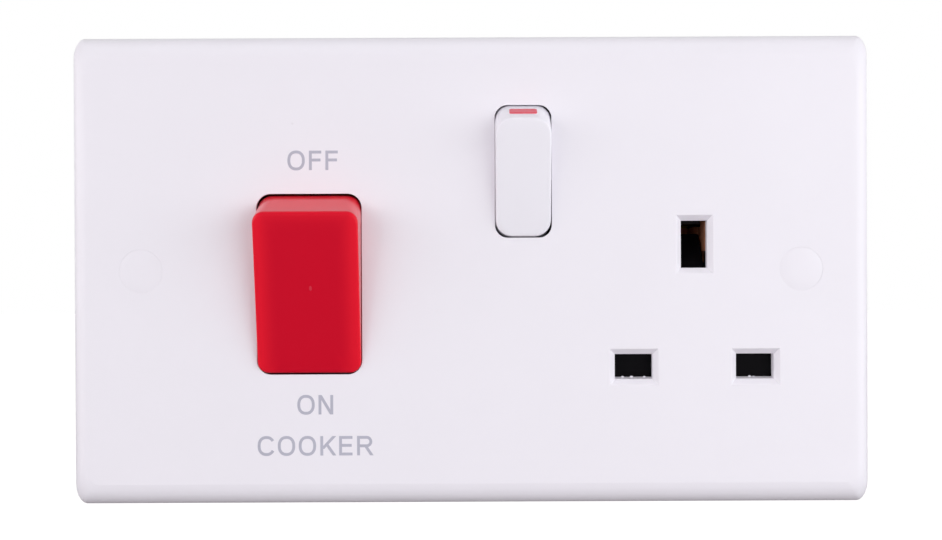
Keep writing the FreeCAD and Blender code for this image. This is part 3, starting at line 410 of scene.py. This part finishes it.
def rocker_sizes(spec):
    """Face, shoulder and skirt that follow from the opening, the hinge depth and the tilt."""
    turn = math.radians(spec["tilt"])
    drop = spec["height"] / 2 - spec["press_gap"]
    proud = spec["depth"] + FLUSH_PROUD
    rise = spec["height"] / 2 - spec["end_gap"]
    return dict(face_half=drop * math.cos(turn) - proud * math.sin(turn),
                reach=drop * math.sin(turn) + proud * math.cos(turn),
                shoulder=rise * math.cos(turn) + spec["depth"] * math.sin(turn),
                shoulder_y=rise * math.sin(turn) - spec["depth"] * math.cos(turn),
                skirt=math.hypot(rise, spec["depth"]),
                half=spec["width"] / 2 - spec["side_gap"])


def rocker_shell(spec):
    """Closed shell by rings: crowned face, rounded face edge, tapered sides, round skirt, then the hollow behind.

    Face and shoulder have other corners than the opening, which leaves a dark crescent at each corner.
    """
    s = rocker_sizes(spec)
    edge, corner, outer = spec["edge"], spec["face_corner"], spec["shoulder_corner"]
    face_x, face_z = s["half"] - SIDE_TAPER, s["face_half"]
    rings = []

    def ring(half_x, half_z, radius, y):
        loop = rounded_loop(half_x, half_z, max(radius, 0.05), between=7)
        rings.append(np.stack([loop[:, 0], np.full(len(loop), y), loop[:, 1]], -1))

    for share in (0.05, 0.2, 0.35, 0.5, 0.6, 0.7, 0.8, 0.9):
        ring((face_x - SIDE_EDGE) * share, (face_z - edge) * share, corner * share * 0.8,
             -s["reach"] - FACE_CROWN * (1 - share ** 2))
    for turn in np.linspace(0.0, math.pi / 2, 7):
        inset = 1 - math.sin(turn)
        ring(face_x - SIDE_EDGE * inset, face_z - edge * inset, corner - edge * inset * 0.6,
             -s["reach"] + edge * (1 - math.cos(turn)))
    low = -s["reach"] + edge
    for share in (0.35, 0.7, 1.0):
        ring(face_x + (s["half"] - face_x) * share, face_z + (s["shoulder"] - face_z) * share,
             corner + (outer - corner) * share, low + (s["shoulder_y"] - low) * share)
    for y in np.linspace(s["shoulder_y"], SKIRT_END, 5)[1:]:
        ring(s["half"], math.sqrt(s["skirt"] ** 2 - y ** 2), spec["skirt_corner"], y)
    for y in (SKIRT_END, -s["reach"] + FACE_WALL):
        ring(face_x - SIDE_WALL, face_z - END_WALL, HOLLOW_CORNER, y)
    return sheet_mesh("rocker_shell", in_plate(rings, spec))


def rocker_fittings(spec):
    """Hinge pins and plunger barrels of one rocker as turned shells."""
    s = rocker_sizes(spec)
    root, length, radius = s["half"] - PIN_ROOT, PIN_ROOT + PIN_REACH, spec["pin"]
    profile = [(radius, 0.0), (radius, length - PIN_CHAMFER), (radius - PIN_CHAMFER, length)]
    shells = [lathe(profile, (side * root, 0, 0), (side, 0, 0), 28) for side in (-1, 1)]
    bottom = -s["reach"] + FACE_WALL
    profile = [(BARREL_RADIUS, bottom - BARREL_ROOT), (BARREL_RADIUS, BARREL_END - 0.2),
               (BARREL_RADIUS - 0.2, BARREL_END), (BARREL_BORE + 0.1, BARREL_END), (BARREL_BORE, BARREL_END - 0.15),
               (BARREL_BORE, bottom)]
    shells += [lathe(profile, (x, 0, 0), (0, 1, 0), 32) for x in spec["poles"]]
    return [sheet_mesh("rocker_fitting", in_plate(shell, spec)) for shell in shells]


def mark_painted_rim_light_and_polish(mesh, spec):
    """Two attributes that rise smoothly from 0 to 1.

    The rim rises from the middle of the face to its sides and to the raised end. It carries painted light: a lighter
    colour for light that falls on those walls and glows through them where they are thin. The polish rises just behind
    the face edge, because the sides and ends come out of the mould glossier than the face.
    """
    points = np.empty(len(mesh.vertices) * 3)
    mesh.vertices.foreach_get("co", points)
    x, y, z = (points.reshape(-1, 3) / MM - (spec["x"], FRONT_Y + spec["depth"], spec["z"])).T
    turn = math.radians(spec["tilt"])
    behind = y * math.cos(turn) + z * math.sin(turn) + rocker_sizes(spec)["reach"]
    side_start, end_start, end_span, end_level = 0.57, 0.6, 0.3, 0.8
    sideways = np.clip((np.abs(x) / (spec["width"] / 2) - side_start) / (1 - side_start), 0.0, 1.0)
    upward = np.clip((z / (spec["height"] / 2) - end_start) / end_span, 0.0, 1.0)
    polish_start, polish_span = 0.3, 0.5
    polish = np.clip((behind - polish_start) / polish_span, 0.0, 1.0)
    # The rim share carries painted light on the sides and raised end; the polish share is a real coat of gloss
    for name, share in (("rim", np.maximum(sideways * (1 - polish), end_level * upward)), ("polish", polish)):
        mask = mesh.attributes.new(name, "FLOAT", "POINT")
        mask.data.foreach_set("value", (share * share * (3 - 2 * share)).astype(np.float32))


def make_rockers():
    for name, spec, material, slot in (("cooker_rocker", COOKER, RED, "red_moulding"),
                                       ("socket_rocker", SOCKET, ROCKER_WHITE, "white_moulding")):
        mesh = join_meshes(name + "_moulding", [rocker_shell(spec)] + rocker_fittings(spec))
        mark_painted_rim_light_and_polish(mesh, spec)
        piece(name + "_moulding", smooth(mesh), material, name + "_body", [name])


def make_flash():
    """Marker pad on the raised end face of the socket rocker, a shallow rounded pad that stands hardly proud."""
    s = rocker_sizes(SOCKET)
    slope = math.atan2(s["shoulder"] - s["face_half"], s["reach"] + s["shoulder_y"])
    rings = []
    for inset, lift in ((0.0, -0.6), (0.0, 0.0), (0.08, 0.05), (0.4, 0.07)):
        loop = rounded_loop(FLASH_WIDTH / 2 - inset, FLASH_HEIGHT / 2 - inset, FLASH_CORNER - inset / 2, 6)
        deep = FLASH_SETBACK / math.cos(slope) + FLASH_HEIGHT / 2 + loop[:, 1]
        y = -s["reach"] + deep * math.cos(slope) - lift * math.sin(slope)
        z = s["face_half"] + deep * math.sin(slope) + lift * math.cos(slope)
        rings.append(np.stack([loop[:, 0], y, z], -1))
    mesh = join_meshes("rocker_flash_insert", [sheet_mesh("flash", in_plate(rings, SOCKET))])
    piece("rocker_flash_insert", smooth(mesh), FLASH, "socket_rocker_body", ["rocker_flash"])


# Plate furniture

def make_caps():
    """Flush caps, a hair off the middle: slightly domed disc with a rounded rim, then a short hollow skirt."""
    rim = CAP_HOLE - CAP_SLACK
    profile = [(0.2, 0.0), (2.0, 0.004), (rim - 0.06, 0.01), (rim - 0.02, 0.02), (rim, 0.05), (rim, CAP_DEPTH),
               (rim - CAP_WALL, CAP_DEPTH), (rim - CAP_WALL, CAP_TOP)]
    shells = []
    for side in (-1, 1):
        centre = (side * FIXING_X - CAP_SHIFT, FRONT_Y, -CAP_SHIFT)
        shells.append(sheet_mesh("cap", lathe(profile, centre, (0, 1, 0), 56)))
    piece("screw_caps_moulding", smooth(join_meshes("screw_caps_moulding", shells)), WHITE, "unit",
          ["screw_caps"])


def bowl(width, height, start, end, count=40):
    """Part of a slightly squared oval as (points, 2): both axes follow the same power curve between two angles."""
    turn = np.radians(np.linspace(start, end, count))
    c, n = np.cos(turn), np.sin(turn)
    power = 2 / BOWL_POWER
    return np.stack([width / 2 * np.sign(c) * np.abs(c) ** power, height / 2 * np.sign(n) * np.abs(n) ** power], -1)


def letter_strokes(letter):
    """Centre lines of one plain capital as (line, kind), with the lower left corner at the origin.

    An oval is a slightly squared bowl; slanted strokes are cut level at their ends.
    """
    half, tall, wide = STROKE / 2, CAPITAL, LETTER_WIDTHS[letter]
    low, high, mid = half, tall - half, tall * 0.52
    oval_height = tall + 2 * OVERSHOOT - STROKE
    if letter == "O":
        return [(bowl(wide - STROKE, oval_height, 0, 360)[:-1] + (wide / 2, tall / 2), "hoop")]
    if letter == "C":
        oval = bowl(OPEN_BOWL_WIDTH - STROKE, oval_height, *OPEN_BOWL_ANGLES)
        return [(oval + (OPEN_BOWL_WIDTH / 2, tall / 2), "plain")]
    stem = (np.array([(half, 0.0), (half, tall)]), "plain")
    if letter == "N":
        far_stem = (stem[0] + (wide - STROKE, 0), "plain")
        return [stem, far_stem, (np.array([(0.29, tall), (wide - 0.29, 0.0)]), "slanted")]
    if letter == "K":
        return [stem, (np.array([(0.36, tall * 0.34), (wide - 0.35, tall)]), "slanted"),
                (np.array([(wide * 0.41, tall * 0.57), (wide - 0.31, 0.0)]), "slanted")]
    if letter == "R":
        radius = (high - mid + half * 0.4) / 2
        arc = np.radians(np.linspace(90, -90, 18))
        centre_x, centre_z = wide - 0.2 - half - radius, high - radius
        round_end = np.stack([centre_x + radius * np.cos(arc), centre_z + radius * np.sin(arc)], -1)
        bowl_line = np.concatenate([[(half, high)], round_end, [(half, high - 2 * radius)]])
        return [stem, (bowl_line, "plain"),
                (np.array([(wide * 0.52, high - 2 * radius), (wide - 0.28, 0.0)]), "slanted")]
    bars = [np.array([(half, high), (wide, high)]), np.array([(half, mid), (wide - 0.15, mid)])]
    if letter == "E":
        bars.append(np.array([(half, low), (wide, low)]))
    return [stem] + [(bar, "plain") for bar in bars]


def ink_stroke(line, kind, lift):
    """Ink line: a flat rectangle, the stroke wide and a few hundredths thick, carried along the centre line.

    A slanted stroke is widened along the line of writing instead, so that its ends are level.
    """
    ahead = np.gradient(line, axis=0)
    if kind == "hoop":
        ahead = np.roll(line, -1, axis=0) - np.roll(line, 1, axis=0)
    ahead /= np.linalg.norm(ahead, axis=1, keepdims=True)
    side = np.stack([-ahead[:, 1], ahead[:, 0]], -1) * STROKE / 2
    if kind == "slanted":
        side = np.stack([-STROKE / 2 / ahead[:, 1], np.zeros(len(line))], -1)
    edges = np.stack([line + side, line + side, line - side, line - side], 1)
    depth = np.broadcast_to(np.array([INK_ROOT, -lift, -lift, INK_ROOT]) + FRONT_Y, edges.shape[:2])
    return np.stack([edges[..., 0], depth, edges[..., 1]], -1)


def make_legend(word, x, z, gaps):
    """Printed word: plain drawn capitals with a gap after each but the last, centred on a point of the plate face."""
    widths = np.array([LETTER_WIDTHS[letter] for letter in word])
    starts = np.concatenate([[0.0], np.cumsum(widths[:-1] + gaps)])
    starts += x - (starts[-1] + widths[-1]) / 2
    shells = []
    for letter, start in zip(word, starts):
        for number, (line, kind) in enumerate(letter_strokes(letter)):
            placed = line + (start, z - CAPITAL / 2)
            ink = ink_stroke(placed, kind, INK_LIFT + INK_STEP * number)
            shells.append(sheet_mesh("ink", ink, kind == "hoop"))
    name = "legend_" + word.lower()
    piece(name, smooth(join_meshes(name, shells)), INK, "unit")


def make_gate_mark():
    """Moulding gate mark near the middle of the red face: a low worn oval ring about the face normal."""
    level = -rocker_sizes(COOKER)["reach"] - FACE_CROWN
    profile = [(0.04, level - 0.005), (0.12, level - 0.03), (0.2, level - 0.03), (0.3, level), (0.32, level + 0.1)]
    turned = lathe(profile, (0, 0, 0), (0, 1, 0), 20) * GATE_STRETCH + GATE_PLACE
    mesh = join_meshes("gate_mark", [sheet_mesh("gate", in_plate(turned, COOKER))])
    piece("gate_mark", smooth(mesh, 60), SCUFF, "cooker_rocker_body")


def make_slot_burrs():
    """Moulding burrs at the foot of the two lower pin slots: half-sunk ellipsoids of the given reach and rise."""
    turn = np.linspace(0.05, math.pi - 0.05, 9)
    ball = lathe(np.stack([np.sin(turn), np.cos(turn)], -1), (0, 0, 0), (0, 1, 0), 16)
    shells = []
    for (slot_x, slot_z, _, half_z), burrs in SLOT_BURRS:
        for across, reach, rise in burrs:
            place = (slot_x + across, SLOT_BACK_Y - BURR_SETBACK, slot_z - half_z)
            shells.append(sheet_mesh("burr", ball * (reach, BURR_DEPTH, rise) + place))
    piece("slot_burrs", smooth(join_meshes("slot_burrs", shells), 60), WHITE, "unit")


# Springs, plungers and screws

def press_spring(spring):
    """Gives a spring its own copy of its mesh."""
    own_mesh(spring)


def make_springs():
    """Round-wire springs: one with closed ends under each plunger, and an evenly wound one under the shutter."""
    for rocker, pole, spec, x in POLES:
        name = rocker + "_spring" + pole
        seat = -rocker_sizes(spec)["reach"] + FACE_WALL
        start, end = seat + COIL_WIRE, PLUNGER_BACK - COIL_WIRE
        turn = np.linspace(0.0, 2 * math.pi * COIL_TURNS, 150)
        along = turn / turn[-1]
        open_share = np.clip((along - CLOSED_END) / (1 - 2 * CLOSED_END), 0.0, 1.0)
        rise = start + (end - start) * ((1 - CLOSED_RISE) * open_share + CLOSED_RISE * along)
        path = np.stack([x + COIL_RADIUS * np.cos(turn), rise, COIL_RADIUS * np.sin(turn)], -1)
        mesh = join_meshes(name + "_wire", [sheet_mesh("wire", in_plate(tube(path, COIL_WIRE), spec))])
        made = piece(name + "_wire", smooth(mesh, 60), SPRING, rocker + "_rocker_body", [name])
        press_spring(made)
    low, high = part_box("shutter_spring")
    turn = np.linspace(0.0, 2 * math.pi * SHUTTER_COIL_TURNS, 340)
    rise = np.linspace(low.z / MM + 0.15, high.z / MM - 0.15, len(turn))
    path = np.stack([EARTH_X + SHUTTER_COIL_RADIUS * np.cos(turn),
                     SHUTTER_COIL_Y + SHUTTER_COIL_RADIUS * np.sin(turn), rise], -1)
    mesh = join_meshes("shutter_spring_wire", [sheet_mesh("wire", tube(path, SHUTTER_COIL_WIRE, 8))])
    made = piece("shutter_spring_wire", smooth(mesh, 60), SPRING, "unit", ["shutter_spring"])
    press_spring(made)


def make_plungers():
    """Turned nylon plungers: a stud that holds the spring, a body that slides in the barrel, and a round nose."""
    for rocker, pole, spec, x in POLES:
        name = rocker + "_plunger" + pole
        length = ARM_PIVOT_Y - ARM_RISE - TIP_GAP - (FRONT_Y + spec["depth"])
        profile = [(STUD_RADIUS - 0.1, STUD_END), (STUD_RADIUS, STUD_END + 0.1), (STUD_RADIUS, PLUNGER_BACK),
                   (PLUNGER_RADIUS - 0.1, PLUNGER_BACK), (PLUNGER_RADIUS, PLUNGER_BACK + 0.1),
                   (PLUNGER_RADIUS, length - PLUNGER_NOSE), (1.45, length - 0.8), (1.0, length - 0.25),
                   (0.45, length)]
        turned = in_plate(lathe(profile, (x, 0, 0), (0, 1, 0), 32), spec)
        mesh = join_meshes(name + "_nylon", [sheet_mesh("plunger", turned)])
        piece(name + "_nylon", smooth(mesh), NYLON, name + "_body", [name])


def screw_shells(x, z, radius, tip, seat, head_radius, head_height):
    """Threaded shank as a rippled helix surface, head disc, and two half-round lands that leave the driver slot."""
    turn = np.linspace(0.0, 2 * math.pi, 28, endpoint=False)
    along = np.linspace(tip + 0.3, seat, max(int((seat - tip) / THREAD_PITCH * 6), 8))
    wave = np.abs(((along[:, None] / THREAD_PITCH - turn[None] / (2 * math.pi)) % 1.0) - 0.5) * 2
    reach = radius - THREAD_DEPTH * wave
    shank = np.stack([x + reach * np.cos(turn), np.broadcast_to(along[:, None], reach.shape),
                      z + reach * np.sin(turn)], -1)
    blunt = 0.5 * radius
    point = np.stack([x + blunt * np.cos(turn), np.full(len(turn), tip), z + blunt * np.sin(turn)], -1)
    shells = [sheet_mesh("shank", np.concatenate([point[None], shank]))]
    top = seat + head_height
    floor = top - DRIVER_DEPTH
    disc = [(head_radius - 0.2, seat), (head_radius, seat + 0.2), (head_radius, floor)]
    shells.append(sheet_mesh("disc", lathe(disc, (x, 0, z), (0, 1, 0), 36)))
    start = math.asin(DRIVER_SLOT / 2 / head_radius)
    arc = np.linspace(start, math.pi - start, 20)
    for side in (-1, 1):
        rings = []
        for inset, y in ((0.0, floor - 0.05), (0.0, top - 0.3), (0.1, top - 0.1), (0.3, top)):
            r = head_radius - inset
            across = side * np.maximum(r * np.sin(arc), DRIVER_SLOT / 2)
            rings.append(np.stack([x + r * np.cos(arc), np.full(len(arc), y), z + across], -1))
        shells.append(sheet_mesh("land", rings))
    return shells


def make_screws():
    """Two screws in each cooker terminal and one each side of the switch base, then the socket's and earth's own.

    Each screw has x, z, radius, tip, seat, head radius and head height.
    """
    middle_x, middle_z = COOKER["x"], SWITCH_Z
    groups = {"terminal_screws": [(middle_x + x, middle_z + end + z, 1.9, 19.95, 24.4, 2.8, 2.1)
                                  for x in (-8.5, 8.5) for end in (-25.7, 25.7) for z in (-3.1, 3.1)],
              "switch_base_screws": [(middle_x + x, middle_z, 1.45, -5.4, 3.0, 2.9, 2.0) for x in (-16.5, 16.5)],
              "socket_base_screws": [(x, z, 1.45, -5.4, 18.0, 2.9, 2.0)
                                     for x, z in ((20.5, -24.5), (20.5, 4.0), (49.5, -3.0))],
              "earth_terminal_screws": [(x, 23.0, 1.7, 21.95, 24.6, 2.8, 1.7) for x in (31.8, 40.2)]}
    for name, screws in groups.items():
        shells = [shell for screw in screws for shell in screw_shells(*screw)]
        piece(name + "_turned", smooth(join_meshes(name + "_turned", shells), 50), PLATED, "unit",
              [name])


# Mouldings and pressings that keep the shape of their solids

def draft_pin_slots(work):
    """Drafted lower pin slots: the front of the foot and its splay drop, and the line slot narrows to the back."""
    slot_x, slot_z, half_x, half_z = LINE_SLOT
    side, foot = slot_x + half_x, slot_z - half_z
    for corner in work.verts:
        x, y, z = corner.co / MM
        if abs(z - foot) < NEAR and abs(y - SLOT_NECK_Y) < NEAR:
            corner.co.z -= FOOT_DRAFT * MM
        if abs(z - foot + SLOT_SPLAY) < NEAR and abs(y - FRONT_Y) < NEAR and x > 0:
            corner.co.z -= SPLAY_DRAFT * MM
        if abs(x - side) < NEAR and abs(y - SLOT_BACK_Y) < NEAR:
            corner.co.x -= SIDE_DRAFT * MM


def on_slot_mouth(points):
    """Whether each point lies on the outer edge of a splayed pin slot."""
    found = np.zeros(len(points), bool)
    for x, z, half_x, half_z in (EARTH_SLOT, NEUTRAL_SLOT, LINE_SLOT):
        found |= ((np.abs(points[:, 0] - x) < half_x + SLOT_SPLAY + NEAR)
                  & (np.abs(points[:, 2] - z) < half_z + SLOT_SPLAY + MOUTH_MARGIN))
    return found & (points[:, 1] < FRONT_Y + NEAR)


def eased_copy(source):
    """Copy of a solid's faces with doubles merged, flat triangles joined and a bevel weight on every sharp edge.

    Edges round the flush caps get none, so that the caps stay hard to see. The plate's other edges get a small
    share, and the mouths of its pin slots the full bevel.
    """
    mesh = frame["nodes"][source].data.copy()
    work = bmesh.new()
    work.from_mesh(mesh)
    bmesh.ops.remove_doubles(work, verts=work.verts, dist=MERGE_DISTANCE * MM)
    bmesh.ops.dissolve_limit(work, angle_limit=math.radians(FLAT_TURN), verts=work.verts, edges=work.edges)
    if source == "front_plate":
        draft_pin_slots(work)
    turned = np.array([edge.calc_face_angle(0.0) for edge in work.edges])
    middle = np.array([(edge.verts[0].co + edge.verts[1].co) / 2 for edge in work.edges]) / MM
    work.to_mesh(mesh)
    work.free()
    weight = (turned > math.radians(SHARP_TURN)).astype(np.float32)
    by_cap = np.hypot(np.abs(middle[:, 0]) - FIXING_X, middle[:, 2]) < CAP_HOLE + CAP_MARGIN
    weight[by_cap & (middle[:, 1] < FRONT_Y + CAP_MARGIN)] = 0.0
    if source == "front_plate":
        weight[~on_slot_mouth(middle)] *= PLATE_EDGE_SHARE
    layer = mesh.attributes.new("bevel_weight_edge", "FLOAT", "EDGE")
    layer.data.foreach_set("value", weight)
    mesh.name = source + "_eased"
    return smooth(mesh, 30)


def make_eased():
    """Eased copies of the solids that keep their shape, by material, slot and bevel width in millimetres."""
    finishes = [(WHITE, "white_moulding", 0.25, ["front_plate"]),
                (BLACK, "black_moulding", 0.15, ["shutter"]),
                (BASE, "base_moulding", 0.3, ["switch_base", "socket_base", "socket_rear_cover"]),
                (BRASS, "brass", 0.15, ["cooker_fulcrum_line", "cooker_fulcrum_neutral", "cooker_fixed_contact_line",
                                        "cooker_fixed_contact_neutral", "supply_terminal_line",
                                        "supply_terminal_neutral", "load_terminal_line", "load_terminal_neutral",
                                        "socket_fulcrum", "socket_line_strip", "line_contact_clip",
                                        "neutral_contact_clip", "earth_strap", "earth_terminal"]),
                (BRONZE, "brass", 0.1, ["earth_contact_clip"]),
                (COPPER, "copper", 0.12, ["cooker_contact_arm_line", "cooker_contact_arm_neutral",
                                          "socket_contact_arm", "line_link", "neutral_link"])]
    for material, slot, width, names in finishes:
        for name in names:
            made = piece(name + "_eased", eased_copy(name), material, frame["nodes"][name]["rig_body"], [name])
            bevel = made.modifiers.new("eased_edges", "BEVEL")
            bevel.width = width * MM
            bevel.segments = 2
            bevel.limit_method = "WEIGHT"
            even = made.modifiers.new("even_shading", "WEIGHTED_NORMAL")
            even.mode = "FACE_AREA"
            even.weight = 90
            even.keep_sharp = True


# Stage, light and camera

def stage_material():
    """Pale floor that reads as white to the camera and pale in reflections, and still takes a soft shadow."""
    material = bpy.data.materials.new("pale_floor")
    material.use_nodes = True
    tree = material.node_tree
    path = node(tree, "ShaderNodeLightPath", -900, -300)
    seen = node(tree, "ShaderNodeMath", -680, -250,
                {0: path.outputs["Is Camera Ray"], 1: path.outputs["Is Transmission Ray"]}, operation="MAXIMUM")
    mirrored = node(tree, "ShaderNodeMath", -680, -450, {0: path.outputs["Is Glossy Ray"], 1: FLOOR_MIRROR_SHARE},
                    operation="MULTIPLY")
    either = node(tree, "ShaderNodeMath", -480, -300, {0: seen.outputs["Value"], 1: mirrored.outputs["Value"]},
                  operation="MAXIMUM")
    glow = node(tree, "ShaderNodeMath", -280, -300, {0: either.outputs["Value"], 1: FLOOR_GLOW}, operation="MULTIPLY")
    feed(tree, tree.nodes["Principled BSDF"],
         {"Base Color": FLOOR_COLOUR, "Roughness": 0.9, "Specular IOR Level": 0.1, "Emission Color": PURE_WHITE,
          "Emission Strength": glow.outputs["Value"]})
    return material


def make_stage():
    half, level = FLOOR_HALF, FLOOR_LEVEL
    mesh = bpy.data.meshes.new("floor")
    mesh.from_pydata([(-half, -half, level), (half, -half, level), (half, half, level), (-half, half, level)], [],
                     [(0, 1, 2, 3)])
    mesh.materials.append(stage_material())
    floor = bpy.data.objects.new("floor", mesh)
    bpy.context.scene.collection.objects.link(floor)


def make_world():
    """White to the camera; mirrored, white behind the object and dim in front; as light, softer from below."""
    world = bpy.data.worlds.new("soft_room")
    bpy.context.scene.world = world
    world.use_nodes = True
    tree = world.node_tree
    direction = node(tree, "ShaderNodeTexCoord", -1300, 0)
    split = node(tree, "ShaderNodeSeparateXYZ", -1100, 0, {"Vector": direction.outputs["Generated"]})
    mirrored = node(tree, "ShaderNodeMapRange", -850, 150,
                    {"Value": split.outputs["Y"], "From Min": -0.9, "From Max": 0.2, "To Min": 0.1, "To Max": 1.0})
    ambient = node(tree, "ShaderNodeMapRange", -850, -150,
                   {"Value": split.outputs["Z"], "From Min": -1.0, "From Max": 1.0, "To Min": 0.3, "To Max": 0.32})
    path = node(tree, "ShaderNodeLightPath", -850, -450)
    either = node(tree, "ShaderNodeMath", -600, -450,
                  {0: path.outputs["Is Camera Ray"], 1: path.outputs["Is Transmission Ray"]}, operation="MAXIMUM")
    glossy = node(tree, "ShaderNodeMix", -500, 0, data_type="FLOAT")
    feed(tree, glossy, {"Factor": path.outputs["Is Glossy Ray"], "A": ambient.outputs["Result"],
                        "B": mirrored.outputs["Result"]})
    level = node(tree, "ShaderNodeMix", -280, 0, data_type="FLOAT")
    feed(tree, level, {"Factor": either.outputs["Value"], "A": glossy.outputs["Result"], "B": 1.0})
    feed(tree, tree.nodes["Background"], {"Color": PURE_WHITE, "Strength": level.outputs["Result"]})


def add_lamp(name, place, size, power, colour, mirrored):
    """Large soft lamp that faces the origin; one that isn't mirrored leaves no gloss on the faces turned to it."""
    data = bpy.data.lights.new(name, "AREA")
    data.shape = "RECTANGLE"
    data.size, data.size_y = size
    data.energy = power
    data.color = colour
    lamp = bpy.data.objects.new(name, data)
    lamp.location = place
    lamp.rotation_euler = (-Vector(place)).to_track_quat("-Z", "Y").to_euler()
    lamp.visible_glossy = mirrored
    bpy.context.scene.collection.objects.link(lamp)


def make_camera():
    """Camera straight before the plate face, with the slight pitch and roll of the photo."""
    data = bpy.data.cameras.new("front_camera")
    data.sensor_width = SENSOR_WIDTH
    data.lens = LENS
    data.clip_start = 0.01
    camera = bpy.data.objects.new("front_camera", data)
    bpy.context.scene.collection.objects.link(camera)
    aim = Matrix.Translation((0.0, FRONT_Y * MM, 0.0))
    pitch = Matrix.Rotation(math.radians(CAMERA_PITCH), 4, "X")
    roll = Matrix.Rotation(math.radians(CAMERA_ROLL), 4, "Z")
    camera.matrix_world = aim @ pitch @ roll @ Matrix.Translation((0.0, 0.0, CAMERA_DISTANCE))
    bpy.context.scene.camera = camera


make_rockers()
make_flash()
make_caps()
for legend in LEGENDS:
    make_legend(*legend)
make_gate_mark()
make_slot_burrs()
make_springs()
make_plungers()
make_screws()
make_eased()
make_stage()
make_world()
for lamp in LAMPS:
    add_lamp(*lamp)
make_camera()
bpy.context.scene.view_settings.view_transform = "Standard"
